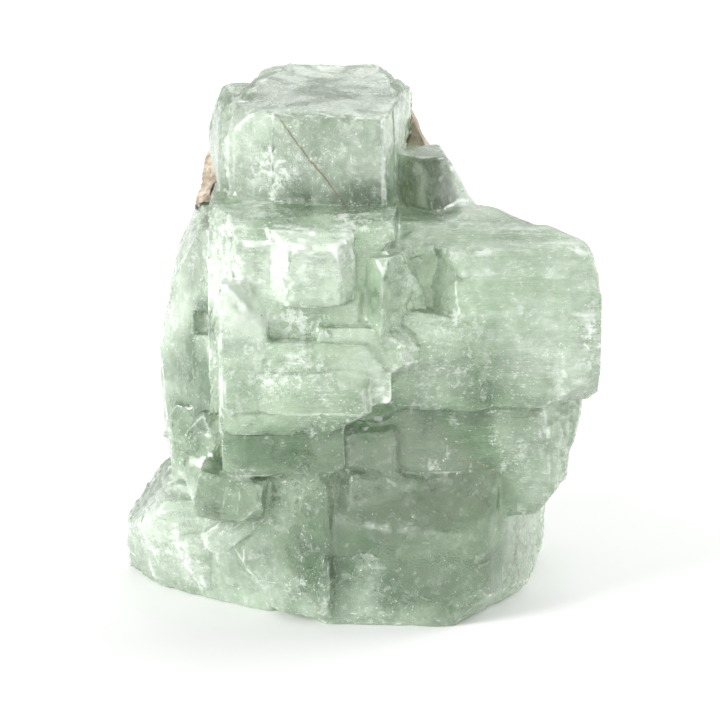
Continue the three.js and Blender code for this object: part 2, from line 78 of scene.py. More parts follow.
# The crystals, worked in this order.
CRYSTALS = {
    # The back.
    "back_upper": crystal(at=(2, 12, 42.5), size=(42, 24, 26), c="x", turn=(0, 0, 6), cut=3, ledges=4),
    "back_lower": crystal(at=(-1, 11, 15), size=(48, 26, 30), c="x", turn=(0, 0, -4), cut=3.5, ledges=4),
    "back_prism": crystal(at=(-13, 17, 32), size=(15, 15, 38), c="z", turn=(0, 0, 24), cut=4, ledges=2),
    "back_stub": crystal(at=(16, 17, 26), size=(17, 16, 22), c="z", turn=(8, 0, -32), cut=3.5, ledges=2),
    "back_high": crystal(at=(9, 21, 41), size=(15, 11, 13), c="x", turn=(0, 8, 14), cut=2.5, ledges=2),
    "back_low": crystal(at=(-4, 21, 19), size=(15, 12, 15), c="z", turn=(0, 4, -22), cut=3, ledges=2),
    "back_left": crystal(at=(-19, 17, 44), size=(12, 14, 15), c="z", turn=(0, -5, 40), cut=3, ledges=1),
    "side_left": crystal(at=(-26.6, 10, 34), size=(10, 12, 17), c="z", turn=(0, 0, 13), cut=2, ledges=1),
    "side_left_low": crystal(
        at=(-22.4, 15, 14), size=(13, 13, 15), c="z", turn=(6, 0, 30), cut=3, ledges=1,
    ),
    "side_right": crystal(at=(25, 9, 29), size=(12, 14, 13), c="x", turn=(0, 6, 25), cut=2.5, ledges=1),
    "side_right_low": crystal(
        at=(22, 9, 11), size=(12, 12, 17), c="z", turn=(0, 0, -20), cut=2.5, ledges=1,
    ),
    # The striated barrel across the upper right, whose top rolls over into its front.
    "barrel": crystal(
        at=(18, -4, 48.3), size=(37, 34, 28), c="x", cut=1, cuts={"+--": 4}, ledges=1,
        breaks=[
            (21, 0, 61.2, 0.25, 0.3, 0.92), (30, 0, 56.9, 0.41, 0.28, 0.87),
            (34.6, -2, 53.9, 0.85, 0.2, 0.49), (36.9, -4, 50, 0.97, 0, 0.24),
            (36.6, -10, 35.8, 0.54, 0, -0.84), (20, -20, 52, 0, -0.93, 0.37),
            (20, -17.5, 56.5, 0, -0.77, 0.64), (20, -13, 59.8, 0, -0.5, 0.87),
            (20, -6, 61.6, 0, -0.15, 0.99), (20, 1, 61.6, 0, 0.3, 0.95), (20, 10, 57.2, 0, 0.7, 0.7),
        ],
    ),
    "barrel_low": crystal(
        at=(17.5, -5, 41.6), size=(37, 31.5, 12.6), c="x", turn=(0, 1, 0), cut=1.5, ledges=2,
        breaks=[(33.3, -20, 36.4, 0.54, 0, -0.84), (33.5, -18, 40, 0.72, -0.69, 0)],
    ),
    # The upper left of the same growth, flat on top, with a pearly end turned to the left front.
    "upper_left": crystal(
        at=(-9, -5, 48), size=(29, 32, 31.6), c="x", cut=1, ledges=1,
        breaks=[
            (-21.5, -17.5, 57, -0.76, -0.65, 0), (-22.5, -16, 61.5, -0.7, -0.35, 0.62),
            (-9, -17.5, 63.3, 0, -0.42, 0.91), (-9, -20.4, 61.2, 0, -0.82, 0.57),
        ],
    ),
    # Below the barrel, stepped back, its right end tapering down.
    "lower_right": crystal(
        at=(18.5, -4.6, 27), size=(31, 30.7, 21), c="x", cut=1, cuts={"+--": 2}, ledges=2,
        breaks=[
            (32.6, -8, 26, 0.97, 0, -0.24), (27.8, -8, 18.4, 0.75, 0, -0.66),
            (29.5, -19, 28, 0.6, -0.8, 0),
        ],
    ),
    # The large smooth foot on the right, with a pale flank.
    "foot_right": crystal(
        at=(11.5, -5.5, 12), size=(36, 36.4, 25), c="z", turn=(0, 0, -2), cut=1,
        breaks=[
            (21.4, -19.5, 10, 0.9, -0.43, 0.02), (26.8, 3, 4, 0.8, 0.2, -0.56),
            (22.5, -13.8, 1.4, 0.62, -0.42, -0.66), (12, -22, 20, 0, -0.94, 0.34),
        ],
    ),
    "foot_middle": crystal(
        at=(3, -10.5, 12), size=(14, 23, 24), c="z", turn=(0, 0, 8), cut=1.5, ledges=1,
        breaks=[(3, -21.4, 1.8, 0, -0.55, -0.83)],
    ),
    # The left flank, set back behind the front slab.
    "left_flank": crystal(
        at=(-19, 2, 36), size=(27.2, 32, 48), c="z", cut=2, ledges=2,
        breaks=[
            (-27, -6, 30, -0.8, -0.6, 0), (-30, 6, 51.3, -0.9, 0, 0.43),
            (-26.4, 6, 58.5, -0.75, 0, 0.66), (-31.7, 4, 44, -0.98, 0, 0.2),
            (-31.3, 4, 24, -0.99, 0, -0.1),
        ],
    ),
    "flank_low": crystal(
        at=(-19.5, 0, 21), size=(16, 18, 18), c="z", turn=(0, 0, -33), cut=1.5, ledges=2,
    ),
    "flank_hollow": crystal(
        at=(-25.6, -10.5, 44.6), size=(7, 9, 3.4), c="z", turn=(0, -3, 30), cut=0.6, hollow=True,
    ),
    "wedge": crystal(at=(-23.3, -12.5, 24.5), size=(6, 8, 14.5), c="z", turn=(0, 10, -35), cut=2.6),
    # The pale wing that reaches out at the lower left.
    "left_wing": crystal(
        at=(-25, 1, 7.5), size=(27, 24, 18), c="x", cut=1.5, ledges=4,
        breaks=[
            (-37.4, 1.3, 3.5, -0.88, -0.4, -0.25), (-31.4, -7.2, 3, -0.55, -0.77, -0.32),
            (-36, 0, 11.4, -0.75, 0, 0.66), (-29, 0, 17.2, -0.22, 0, 0.97),
            (-37.5, 8, 5, -0.85, 0.45, 0.1),
        ],
    ),
    "foot_left": crystal(
        at=(-16.5, -4, 8.5), size=(22, 20, 19), c="z", turn=(0, 0, -32), cut=1.2, ledges=2,
    ),
    # The pointed foot: a prism whose lower corners are clipped by wide pyramid faces.
    "foot_tip": crystal(
        at=(-10.2, -11.6, 12.6), size=(19.4, 20, 23), c="z", turn=(0, 0, -25), cut=1,
        cuts={"---": 7, "++-": 7, "+--": 0.8, "--+": 2.5}, ledges=1,
    ),
    "foot_lath": crystal(at=(-19.6, -15.6, 14.6), size=(10, 9, 4.2), c="x", turn=(0, -38, -12), cut=1),
    "blue_block": crystal(
        at=(-19.8, -17.6, 20.6), size=(10.6, 12, 7.6), c="z", turn=(4, 9, -7), cut=0.4, cuts={"+--": 2},
    ),
    "foot_hollow": crystal(
        at=(-1.4, -23.6, 14.4), size=(4.2, 3.6, 2.4), c="z", turn=(0, 24, 12), cut=0.8, hollow=True,
    ),
    "foot_chip": crystal(at=(-3.2, -18.6, 18.6), size=(5.6, 7, 6.2), c="z", turn=(0, 2, 0), cut=0.5),
    "middle_block": crystal(
        at=(1.3, -14.6, 26.4), size=(9.6, 13.6, 13.4), c="z", turn=(0, 0, -4), cut=0.8, cuts={"--+": 3},
        ledges=1, breaks=[(1.3, -21.4, 30.2, -0.1, -0.66, 0.75)],
    ),
    # The front slab and the plates on it.
    "slab_foot": crystal(
        at=(-12, -17.4, 29.5), size=(18.5, 13, 10.4), c="x", turn=(0, 1, 0), cut=1, ledges=1,
    ),
    "front_slab": crystal(
        at=(-9.8, -17.3, 38.2), size=(23.4, 14.4, 14.6), c="x", cut=0.8, ledges=2,
        breaks=[(0, -20, 33.8, 0.49, 0, -0.87)],
    ),
    "slab_corner": crystal(
        at=(-17.8, -17.7, 43.6), size=(7.2, 14, 22.6), c="z", turn=(0, 0, 2), cut=1.2, cuts={"+-+": 4},
        breaks=[(-15, -24, 53.5, 0.4, -0.35, 0.85)],
    ),
    "front_plate": crystal(
        at=(1.2, -19.1, 43), size=(16.6, 9.4, 10.2), c="x", turn=(0, 1.5, 0), cut=0.6,
        cuts={"+-+": 3.2, "+--": 4.2}, breaks=[(7.6, -23, 43, 0.5, -0.86, 0)],
    ),
    "oval_plate": crystal(at=(0.4, -19.8, 39.8), size=(9, 9.4, 8), c="x", cut=0.6, cuts={"+-+": 1.8}),
    # The hollow under the barrel's edge, with a prism standing in it, and the block beside it.
    "peak_hollow": crystal(
        at=(-5.4, -21.8, 48.9), size=(3.4, 4.4, 4.6), c="x", turn=(0, 9, 12), cut=0.7, hollow=True,
    ),
    "barrel_hollow": crystal(
        at=(9, -21, 54.6), size=(11.5, 9, 9.5), c="z", turn=(0, 12, 34), cut=1.6, hollow=True,
    ),
    "centre_peak": crystal(
        at=(4.3, -18.2, 51.6), size=(9.6, 7.6, 14), c="z", turn=(0, 0, 42), cut=0.8,
        cuts={"+-+": 3.4, "+++": 2.5, "-++": 2.2, "--+": 0.9},
    ),
    "centre_block": crystal(
        at=(-8, -18.5, 56.9), size=(13, 12, 10.8), c="x", turn=(0, 2, 0), cut=0.3,
        breaks=[
            (-13, -22.2, 56, -0.82, -0.57, 0), (-8, -22.6, 61.9, 0, -0.55, 0.83),
            (-2.6, -23.4, 57, 0.66, -0.75, 0), (-5, -24, 51.6, 0.22, -0.1, -0.97),
        ],
    ),
    # The block that crowns the cluster, and its neighbours.
    "crown": crystal(
        at=(-6.2, 3, 71.5), size=(24.8, 26, 25), c="z", turn=(0, 0, -10), cut=1,
        cuts={"--+": 5, "+++": 3, "+-+": 4, "-++": 3},
        breaks=[
            (-20.2, -7, 68, -0.8, -0.6, 0), (-7, -9.5, 78.1, 0, -0.17, 0.985),
            (-7, 16, 82, 0, 0.5, 0.86), (8.3, 8, 72, 0.93, 0, -0.37), (4.2, 12, 80.4, 0.6, 0, 0.8),
            (-14, 12, 81.3, -0.35, 0, 0.94),
        ],
    ),
    "crown_left": crystal(
        at=(-15.2, 4, 70), size=(16.4, 18, 17.2), c="x", turn=(0, 4, 10), cut=3.6, cuts={"-++": 1.5},
        ledges=1,
        breaks=[
            (-22.5, 0, 77, -0.7, -0.1, 0.7), (-24.5, 0, 73.5, -0.95, 0, 0.3),
            (-24.2, 0, 72.6, -0.97, -0.1, -0.2),
        ],
    ),
    "shoulder": crystal(
        at=(9.7, 3, 60.6), size=(12.5, 12.5, 19), c="z", turn=(0, 0, 52), cut=1,
        cuts={"--+": 1.6, "+-+": 5, "-++": 4, "+++": 5},
    ),
}

# The rock that the crystals grew on.
MATRIX = {
    "right": crystal(
        at=(0.6, 17, 64), size=(24, 15, 21), c="z", turn=(4, 0, 8), cut=4, cuts={"+++": 3, "+-+": 1},
        breaks=[(9.4, 12, 71, 0.89, 0, 0.46)],
    ),
    "left": crystal(
        at=(-15, 16, 60.5), size=(21, 17, 15), c="z", turn=(-5, 6, -9), cut=3.5, cuts={"-++": 5},
        breaks=[(-24.1, 6, 63.5, -0.86, -0.2, 0.47)],
    ),
    "low": crystal(at=(-7, 21.5, 55), size=(15, 9, 10), c="x", turn=(8, -12, 5), cut=2.5),
}

# The kinds of faces: along the c axis, across it, over the prism's corners, and broken.
PRISM, END, PYRAMID, BREAK = range(4)
# The largest whole number that the dice and the patterns count to.
WORD = 0xFFFFFFFF

# Ledges of parallel growth, each a least value and a spread: how long and how wide they are beside their
# crystal, and how far the large and the fine ones rise, in millimetres.
LEDGE_LENGTH = (0.7, 0.26)
LEDGE_WIDTH = (0.2, 0.35)
LEDGE_RISE = (0.3, 0.6)
FINE_RISE = (0.08, 0.3)
# Their corners are clipped at most this deep, and by this share of the crystal's.
LEDGE_CUT = 1.5
LEDGE_CUT_SHARE = 0.6
# How unevenly the corners of a crystal are clipped: a least share and a spread.
UNEVEN_CUT = (0.35, 1.3)
# Only crystals longer than this have fine ledges.
LARGE = 9
# The first crystal's seed, and the step to the next one's.
FIRST_SEED = 101
SEED_STEP = 17
# The size of the block that is cut away under the foot.
GROUND = 160


class Dice:
    """Small repeatable random numbers from 0 to 1."""

    FACTOR = 1664525
    STEP = 1013904223

    def __init__(self, seed):
        """Starts from a whole number."""
        self.state = seed & WORD

    def roll(self):
        """The next number."""
        self.state = (self.state * self.FACTOR + self.STEP) & WORD
        return self.state / (WORD + 1)

    def within(self, least, spread):
        """The next number, from least to least + spread."""
        return least + spread * self.roll()


class Part:
    """A convex piece of a crystal: its planes and what kind of face each of them is."""

    def __init__(self, owner, spec):
        """Starts without faces; owner is the crystal's number in its table."""
        self.owner = owner
        self.hollow = spec["hollow"]
        self.c = spec["c"]
        self.at = np.array(spec["at"], float)
        self.axes = np.array(Euler([math.radians(t) for t in spec["turn"]], "ZYX").to_matrix())
        self.normals = []
        self.heights = []
        self.kinds = []

    def add_face(self, normal, point, kind):
        """A face through a point, both in the crystal's own frame."""
        turned = self.axes @ np.array(normal, float)
        self.add_break(turned, self.axes @ np.array(point, float) + self.at, kind)

    def add_break(self, normal, point, kind=BREAK):
        """A face through a point, both in the cluster's frame."""
        normal = np.array(normal, float) / np.linalg.norm(normal)
        self.normals.append(normal)
        self.heights.append(float(normal @ np.array(point, float)))
        self.kinds.append(kind)

    def freeze(self):
        """Makes the mesh, once every face is in."""
        self.normals = np.array(self.normals)
        self.heights = np.array(self.heights)
        self.kinds = np.array(self.kinds)
        self.mesh = convex_mesh(self)
        corners = points_of(self.mesh)
        self.low, self.high = corners.min(0), corners.max(0)
        return self


def clip_corners(part, c, size, cut_of, offset):
    """Adds the pyramid faces that clip the corners of a box."""
    slant = np.full(3, math.sin(PYRAMID_TILT) / math.sqrt(2))
    slant[c] = math.cos(PYRAMID_TILT)
    for name in CORNERS:
        if cut_of(name) > 0:
            signs = np.array([1 if mark == "+" else -1 for mark in name])
            normal = signs * slant
            part.add_face(normal, signs * size / 2 + offset - normal * cut_of(name), PYRAMID)


def clipped_box(owner, spec, size, cut_of, offset=(0, 0, 0)):
    """A box clipped at its corners by pyramid faces."""
    part = Part(owner, spec)
    size = np.array(size, float)
    offset = np.array(offset, float)
    for i, side in itertools.product(range(3), (-1, 1)):
        normal = np.zeros(3)
        normal[i] = side
        part.add_face(normal, offset + normal * size / 2, END if i == spec["c"] else PRISM)
    clip_corners(part, spec["c"], size, cut_of, offset)
    return part


def ledge(owner, spec, cut_of, dice, rises):
    """A slab that stands a little proud of one prism face, as parallel growth leaves it along the c axis."""
    size, c = spec["size"], spec["c"]
    face, across = ((c + 1) % 3, (c + 2) % 3) if dice.roll() < 0.5 else ((c + 2) % 3, (c + 1) % 3)
    side = -1 if dice.roll() < 0.5 else 1
    rise = dice.within(*rises)
    part, offset = [0, 0, 0], [0, 0, 0]
    part[face] = size[face] / 2
    offset[face] = side * (size[face] / 4 + rise)
    for axis, share in ((c, LEDGE_LENGTH), (across, LEDGE_WIDTH)):
        part[axis] = size[axis] * dice.within(*share)
        offset[axis] = (size[axis] - part[axis]) * (dice.roll() - 0.5)
    slab = clipped_box(owner, spec, part, lambda name: min(cut_of(name), LEDGE_CUT) * LEDGE_CUT_SHARE, offset)
    clip_corners(slab, c, np.array(size, float), lambda name: cut_of(name) - rise / 2, np.zeros(3))
    return slab


def parts_of(table, fine_ledges, pocket=0):
    """Every convex piece of the crystals in a table, in order; hollows smaller than a pocket are left out."""
    parts = []
    for number, spec in enumerate(table.values()):
        if spec["hollow"] and max(spec["size"]) < pocket:
            continue
        dice = Dice(FIRST_SEED + SEED_STEP * number)
        uneven = {name: spec["cut"] * dice.within(*UNEVEN_CUT) for name in CORNERS}
        uneven.update(spec["cuts"])
        pieces = [clipped_box(number, spec, spec["size"], uneven.get)]
        fine = 0 if spec["hollow"] or max(spec["size"]) <= LARGE else fine_ledges
        for rises, count in ((LEDGE_RISE, spec["ledges"]), (FINE_RISE, fine)):
            pieces += [ledge(number, spec, uneven.get, dice, rises) for _ in range(count)]
        for piece in pieces:
            for plane in spec["breaks"]:
                piece.add_break(plane[3:], plane[:3])
            parts.append(piece.freeze())
    return parts


def convex_mesh(part, reach=200, weld=1e-5):
    """The closed mesh that a part's planes enclose."""
    bm = bmesh.new()
    bmesh.ops.create_cube(bm, size=2 * reach)
    for normal, height in zip(part.normals, part.heights):
        everything = bm.verts[:] + bm.edges[:] + bm.faces[:]
        cut = bmesh.ops.bisect_plane(
            bm, geom=everything, plane_co=normal * height, plane_no=normal, clear_outer=True, dist=weld
        )["geom_cut"]
        rim = [item for item in cut if isinstance(item, bmesh.types.BMEdge)]
        if len(rim) > 2:
            bmesh.ops.edgeloop_fill(bm, edges=rim)
    bmesh.ops.recalc_face_normals(bm, faces=bm.faces[:])
    mesh = bpy.data.meshes.new("part")
    bm.to_mesh(mesh)
    bm.free()
    return mesh


def new_object(name, data):
    """An object in the scene that holds a mesh, a light or a camera."""
    holder = bpy.data.objects.new(name, data)
    bpy.context.scene.collection.objects.link(holder)
    return holder


def apply_modifiers(piece):
    """Works a piece's modifiers into its mesh."""
    depsgraph = bpy.context.evaluated_depsgraph_get()
    depsgraph.update()
    mesh = bpy.data.meshes.new_from_object(piece.evaluated_get(depsgraph), depsgraph=depsgraph)
    piece.modifiers.clear()
    old = piece.data
    piece.data = mesh
    bpy.data.meshes.remove(old)


def ground_block():
    """A block that fills everything under the flat cut at the foot."""
    spec = crystal(at=(0, 0, -GROUND / 2), size=(GROUND, GROUND, GROUND), c="z", hollow=True)
    return clipped_box(0, spec, spec["size"], lambda name: 0).freeze()


def fuse(name, parts):
    """The parts joined into one solid that stands on a flat cut."""
    piece = new_object(name, parts[0].mesh.copy())
    tools = []
    for number, part in enumerate([*parts[1:], ground_block()]):
        tool = new_object(f"{name}_tool_{number}", part.mesh)
        tools.append(tool)
        joint = piece.modifiers.new("join", "BOOLEAN")
        joint.solver = "MANIFOLD"
        joint.operation = "DIFFERENCE" if part.hollow else "UNION"
        joint.object = tool
    apply_modifiers(piece)
    for tool in tools:
        mesh = tool.data
        bpy.data.objects.remove(tool)
        bpy.data.meshes.remove(mesh)
    return piece


def vectors_of(items, field):
    """A vector that each of a mesh's items has, as the rows of a table."""
    values = np.empty(len(items) * 3)
    items.foreach_get(field, values)
    return values.reshape(-1, 3)


def numbers_of(items, field, each=1):
    """Whole numbers that each of a mesh's items has, in a row."""
    values = np.empty(len(items) * each, int)
    items.foreach_get(field, values)
    return values


def points_of(mesh):
    """Where the points of a mesh are."""
    return vectors_of(mesh.vertices, "co")


def move_points(mesh, points):
    """Puts the points of a mesh where these are."""
    mesh.vertices.foreach_set("co", np.ascontiguousarray(points, np.float32).ravel())
    mesh.update()


# ---- patterns worked out on the points of a mesh ----

# Factors and shifts that scramble the place of a cell into a number without order.
SCRAMBLE_X = 73856093
SCRAMBLE_Y = 19349663
SCRAMBLE_Z = 83492791
SCRAMBLE_SEED = 374761393
STIRS = ((13, 1274126177), (16, 668265263))
LAST_STIR = 15
# How far each octave of a pattern is moved from the one before, so that they don't line up.
OCTAVE_SHIFT = 17.3

# The patterns in the relief and the tones: their grain in millimetres (three values follow the c axis, the
# last one along it), how many octaves they have, and their seed.
PATTERNS = {
    "blocks": ((3.4, 3.4, 14), 1, 11),
    "ribs": ((1.5, 1.5, 9), 1, 12),
    "striae": ((0.9, 0.9, 9), 1, 13),
    "stairs": (5.5, 3, 21),
    "uneven": (3.2, 3, 22),
    "peel": (3.5, 3, 31),
    "hackle": (2.6, 1, 32),
    "splinters": (0.9, 2, 33),
    "swell": (8, 3, 41),
    "crisp": (9, 2, 45),
    "nicks": (1.9, 3, 51),
    "crumbs": (2.0, 3, 61),
    "milky": (13, 3, 61),
    "deep": (15, 3, 71),
    "grey": (17, 2, 81),
    "streaky": (8, 2, 95),
    "broken": (7, 2, 97),
    "lumps": (4.5, 4, 101),
    "pits": (1.7, 3, 102),
}


def smoothstep(low, high, x):
    """0 at low, 1 at high and smooth between."""
    t = np.clip((x - low) / (high - low), 0, 1)
    return t * t * (3 - 2 * t)


def lattice(points, seed):
    """Smooth noise from -1 to 1 that turns over once a unit."""
    whole = np.floor(points).astype(np.int64)
    part = points - whole
    part = part * part * part * (part * (part * 6 - 15) + 10)
    total = np.zeros(len(points))
    for dx, dy, dz in itertools.product((0, 1), repeat=3):
        mixed = (whole[:, 0] + dx) * SCRAMBLE_X ^ (whole[:, 1] + dy) * SCRAMBLE_Y
        mixed = mixed ^ (whole[:, 2] + dz) * SCRAMBLE_Z
        mixed = (mixed + seed * SCRAMBLE_SEED) & WORD
        for shift, factor in STIRS:
            mixed = ((mixed ^ (mixed >> shift)) * factor) & WORD
        value = 2 * (mixed ^ (mixed >> LAST_STIR)) / (WORD + 1) - 1
        weight = (
            (part[:, 0] if dx else 1 - part[:, 0])
            * (part[:, 1] if dy else 1 - part[:, 1])
            * (part[:, 2] if dz else 1 - part[:, 2])
        )
        total += value * weight
    return total


def fractal(points, octaves, seed):
    """Noise from -1 to 1 with finer and fainter octaves."""
    total = np.zeros(len(points))
    for octave in range(octaves):
        total += lattice(points * 2**octave + OCTAVE_SHIFT * octave, seed + octave) * 0.5**octave
    return total / (2 - 0.5 ** (octaves - 1))


def pattern(name, points, shift=0.0):
    """A pattern on these points; shift sets one crystal's apart from another's."""
    grain, octaves, seed = PATTERNS[name]
    return fractal(points / grain + shift, octaves, seed)


def terraces(values, steps, softness=0.16):
    """The same values in flat steps with steep sides."""
    scaled = values * steps
    low = np.floor(scaled)
    return (low + smoothstep(0.5 - softness, 0.5 + softness, scaled - low)) / steps


# ---- where each point of the surface lies on the crystals ----

# How far from a piece its faces are looked for, in millimetres, and what stands for no face at all.
NEARBY = 2.5
FAR = 99.0
# A point is pulled onto an edge nearer than this share of the reach, where the faces turn enough.
EDGE_SHARE = 0.35
MOST_LEAN = 0.94
LEAST_TURN = 0.1


def planes_of(parts):
    """Every part's face normals and heights as even tables."""
    width = max(len(part.normals) for part in parts)
    normals = np.zeros((len(parts), width, 3))
    heights = np.zeros((len(parts), width))
    for number, part in enumerate(parts):
        normals[number, : len(part.normals)] = part.normals
        heights[number, : len(part.heights)] = part.heights
    return normals, heights


def grain_of(points, part, parts):
    """The place of each point across and along its part's crystal, and the way that crystal's c axis runs."""
    axes = np.array([one.axes for one in parts])[part]
    rest = points - np.array([one.at for one in parts])[part]
    c = np.array([one.c for one in parts])[part]
    rows = np.arange(len(part))
    grain = np.stack([(rest * axes[rows, :, (c + step) % 3]).sum(1) for step in (1, 2, 0)], 1)
    return grain, axes[rows, :, c]


def survey(points, parts):
    """For each surface point: the part and face that it lies on (off is how far from it), that part's next
    face (edge is how far), the nearest other part and its face, and how far the nearest other crystal is."""
    count = len(points)
    whole = {name: np.zeros(count, int) for name in ("owner", "part", "face", "next", "other", "other_face")}
    far = {name: np.full(count, FAR) for name in ("off", "edge", "other_off", "crease")}
    found = whole | far
    for number, part in enumerate(parts):
        near = np.nonzero(((points > part.low - NEARBY) & (points < part.high + NEARBY)).all(1))[0]
        if not len(near):
            continue
        rows = np.arange(len(near))
        gaps = points[near] @ part.normals.T - part.heights
        face = gaps.argmax(1)
        off = np.abs(gaps[rows, face])
        gaps[rows, face] = -FAR
        following = gaps.argmax(1)
        edge = np.maximum(-gaps[rows, following], 0)
        stranger = found["owner"][near] != part.owner
        closer = off < found["off"][near]
        runner = ~closer & (off < found["other_off"][near])
        passed = near[closer & stranger]
        found["crease"][passed] = found["off"][passed]
        kept = ~closer & stranger
        found["crease"][near[kept]] = np.minimum(found["crease"][near[kept]], off[kept])
        won = near[closer]
        for name, best in (("other", "part"), ("other_face", "face"), ("other_off", "off")):
            found[name][won] = found[best][won]
        found["other"][near[runner]] = number
        for name, value in (("other_face", face), ("other_off", off)):
            found[name][near[runner]] = value[runner]
        for name, value in (("off", off), ("face", face), ("next", following), ("edge", edge)):
            found[name][won] = value[closer]
        found["owner"][won] = part.owner
        found["part"][won] = number
    normals = planes_of(parts)[0]
    kinds = np.zeros(normals.shape[:2], int)
    for number, part in enumerate(parts):
        kinds[number, : len(part.kinds)] = part.kinds
    found["kind"] = kinds[found["part"], found["face"]]
    found["grain"], along = grain_of(points, found["part"], parts)
    found["tilt"] = np.abs((normals[found["part"], found["face"]] * along).sum(1))
    return found


def snapped(points, parts, found, reach):
    """The points pulled onto their exact face, and onto its exact edge or crease where they are near one."""
    normals, heights = planes_of(parts)
    normal, height = normals[found["part"], found["face"]], heights[found["part"], found["face"]]
    gap = (points * normal).sum(1) - height
    moved = points - normal * np.where(np.abs(gap) < reach, gap, 0)[:, None]
    for part, face in ((found["part"], found["next"]), (found["other"], found["other_face"])):
        second, second_height = normals[part, face], heights[part, face]
        lean = (normal * second).sum(1)
        gap = (moved * second).sum(1) - second_height
        slide = second - normal * lean[:, None]
        near = (np.abs(gap) < EDGE_SHARE * reach) & (np.abs(lean) < MOST_LEAN)
        moved -= slide * np.where(near, gap / np.maximum(1 - lean * lean, LEAST_TURN), 0)[:, None]
    return moved


# ---- relief and wear ----

# How far one crystal's patterns are moved from the next one's.
OWN_PATTERN = 13.7
# A broken face counts as a prism face below the first tilt and as an end above the second.
SIDE_TILT = 0.5
END_TILT = 0.9
# Growth terraces: how many there are to a swing of the pattern on the sides and on the ends, how far the
# pattern swings on the ends, and how strong the fine ribs are beside the large blocks on the sides.
SIDE_TERRACES = 2.2
END_TERRACES = 2.6
END_SWING = 1.4
RIBS = 0.55
# The terraces' height where a face is smooth, and how much more they have where it is rough.
SMOOTH_TERRACES = 0.7
ROUGH_TERRACES = 1.2
# The sides are uneven where they aren't streaky, and pyramid faces have a share of the ends' terraces.
UNEVEN = 1.15
PYRAMID_SHARE = 0.35
# Broken faces, in millimetres: how far the cleavage steps wander, how high they and the splinters are.
PEEL = 0.9
CLEAVAGE = 0.3
SPLINTERS = 0.12
# Hackles stand up this much and fall by this much where the pattern swings, beside their own height.
HACKLE_RISE = 0.8
HACKLE_FALL = 1.6
# Nicks in the edges: which part of the pattern they take, and how far from the edge they reach, in mm.
NICK_PATTERN = (0.1, 0.6)
NICK_REACH = (1.1, 0.1)
# How much every edge is worn down and how near to it, and how high rough places stand, in millimetres.
EDGE_WEAR = 0.1
EDGE_REACH = (0.3, 0)
CRUMBS = 0.35
# The relief fades out on points farther than this from any face, in millimetres.
RELIEF_REACH = (0.6, 0.3)
ROCK_REACH = (0.7, 0.3)


def cluster_relief(points, found, s):
    """How far each point of the crystals stands out from its flat face, in millimetres."""
    grain, along = found["grain"], found["grain"][:, 2]
    shift = found["owner"][:, None] * OWN_PATTERN
    kind = np.where((found["kind"] == BREAK) & (found["tilt"] < SIDE_TILT), PRISM, found["kind"])
    kind = np.where((kind == BREAK) & (found["tilt"] > END_TILT), END, kind)
    streaky = streak_of(points, found)
    rough = broken_of(points, 0)
    step = s.growth_step / MM

    growth = pattern("blocks", grain, shift) + RIBS * pattern("ribs", grain, shift)
    prism = step * terraces(growth, SIDE_TERRACES) * streaky * (SMOOTH_TERRACES + ROUGH_TERRACES * rough)
    prism += s.striation / MM * pattern("striae", grain, shift) * streaky
    prism += step * pattern("uneven", points, shift) * (UNEVEN - streaky)
    flat = step * terraces(pattern("stairs", points, shift) * END_SWING, END_TERRACES)

    peel = (along + PEEL * pattern("peel", points)) / (s.cleavage_pitch / MM)
    hackle = s.hackle / MM * (HACKLE_RISE - HACKLE_FALL * np.abs(pattern("hackle", points)))
    hackle += CLEAVAGE * (peel - np.floor(peel) - 0.5) + SPLINTERS * pattern("splinters", points)

    kinds = [kind == one for one in (PRISM, END, PYRAMID, BREAK)]
    relief = np.select(kinds, [prism, flat, PYRAMID_SHARE * flat, hackle])
    relief += s.waviness / MM * pattern("swell", points)
    nicks = smoothstep(*NICK_PATTERN, pattern("nicks", points)) * smoothstep(*NICK_REACH, found["edge"])
    relief -= s.nick / MM * nicks
    relief -= EDGE_WEAR * smoothstep(*EDGE_REACH, found["edge"])
    relief += CRUMBS * rough * pattern("crumbs", points)
    return relief * smoothstep(*RELIEF_REACH, found["off"])


# Where the pattern makes an edge crisp, how hard points are drawn in, how much less they are on a crisp edge,
# and how hard they are drawn in at most where they are soft.
CRISP = (-0.35, 0.45)
PULL = 0.7
CRISP_PULL = 0.6
SOFTEST = 0.8


def worn(mesh, points, s):
    """The points drawn towards their neighbours, so that edges are rounded, in some places more."""
    count = len(points)
    links = numbers_of(mesh.edges, "vertices", 2)
    ends = np.concatenate([links[0::2], links[1::2]])
    others = np.concatenate([links[1::2], links[0::2]])
    share = 1 / np.maximum(np.bincount(ends, minlength=count), 1)
    soft = soft_of(points)
    pull = PULL - CRISP_PULL * smoothstep(*CRISP, pattern("crisp", points))
    pull = pull * (1 - np.clip(-soft, 0, 1))
    soft = np.clip(soft, 0, SOFTEST)
    for turn in range(s.wear + s.melt):
        mean = np.stack([np.bincount(ends, points[others, i], count) * share for i in range(3)], 1)
        points = points + (pull if turn < s.wear else soft)[:, None] * (mean - points)
    return points


# The slow bends: their length in millimetres, their share of the whole and their seed.
BENDS = ((15, 1.0, 201), (5.5, 0.25, 211), (2.2, 0.12, 221))
BEND_SHIFT = 0.37
# Over this height the foot rises out of its flat cut, in millimetres.
FOOT = 5


def wander(points, s):
    """The points of a piece, in the cluster's frame, after slow bends that keep no edge quite straight."""
    moved = points.copy()
    rise = smoothstep(0, FOOT, points[:, 2])
    for length, share, seed in BENDS:
        for axis in range(3):
            push = s.wander / MM * share * lattice(points / length + BEND_SHIFT * seed, seed + axis)
            moved[:, axis] += push * (rise if axis == 2 else 1)
    return moved


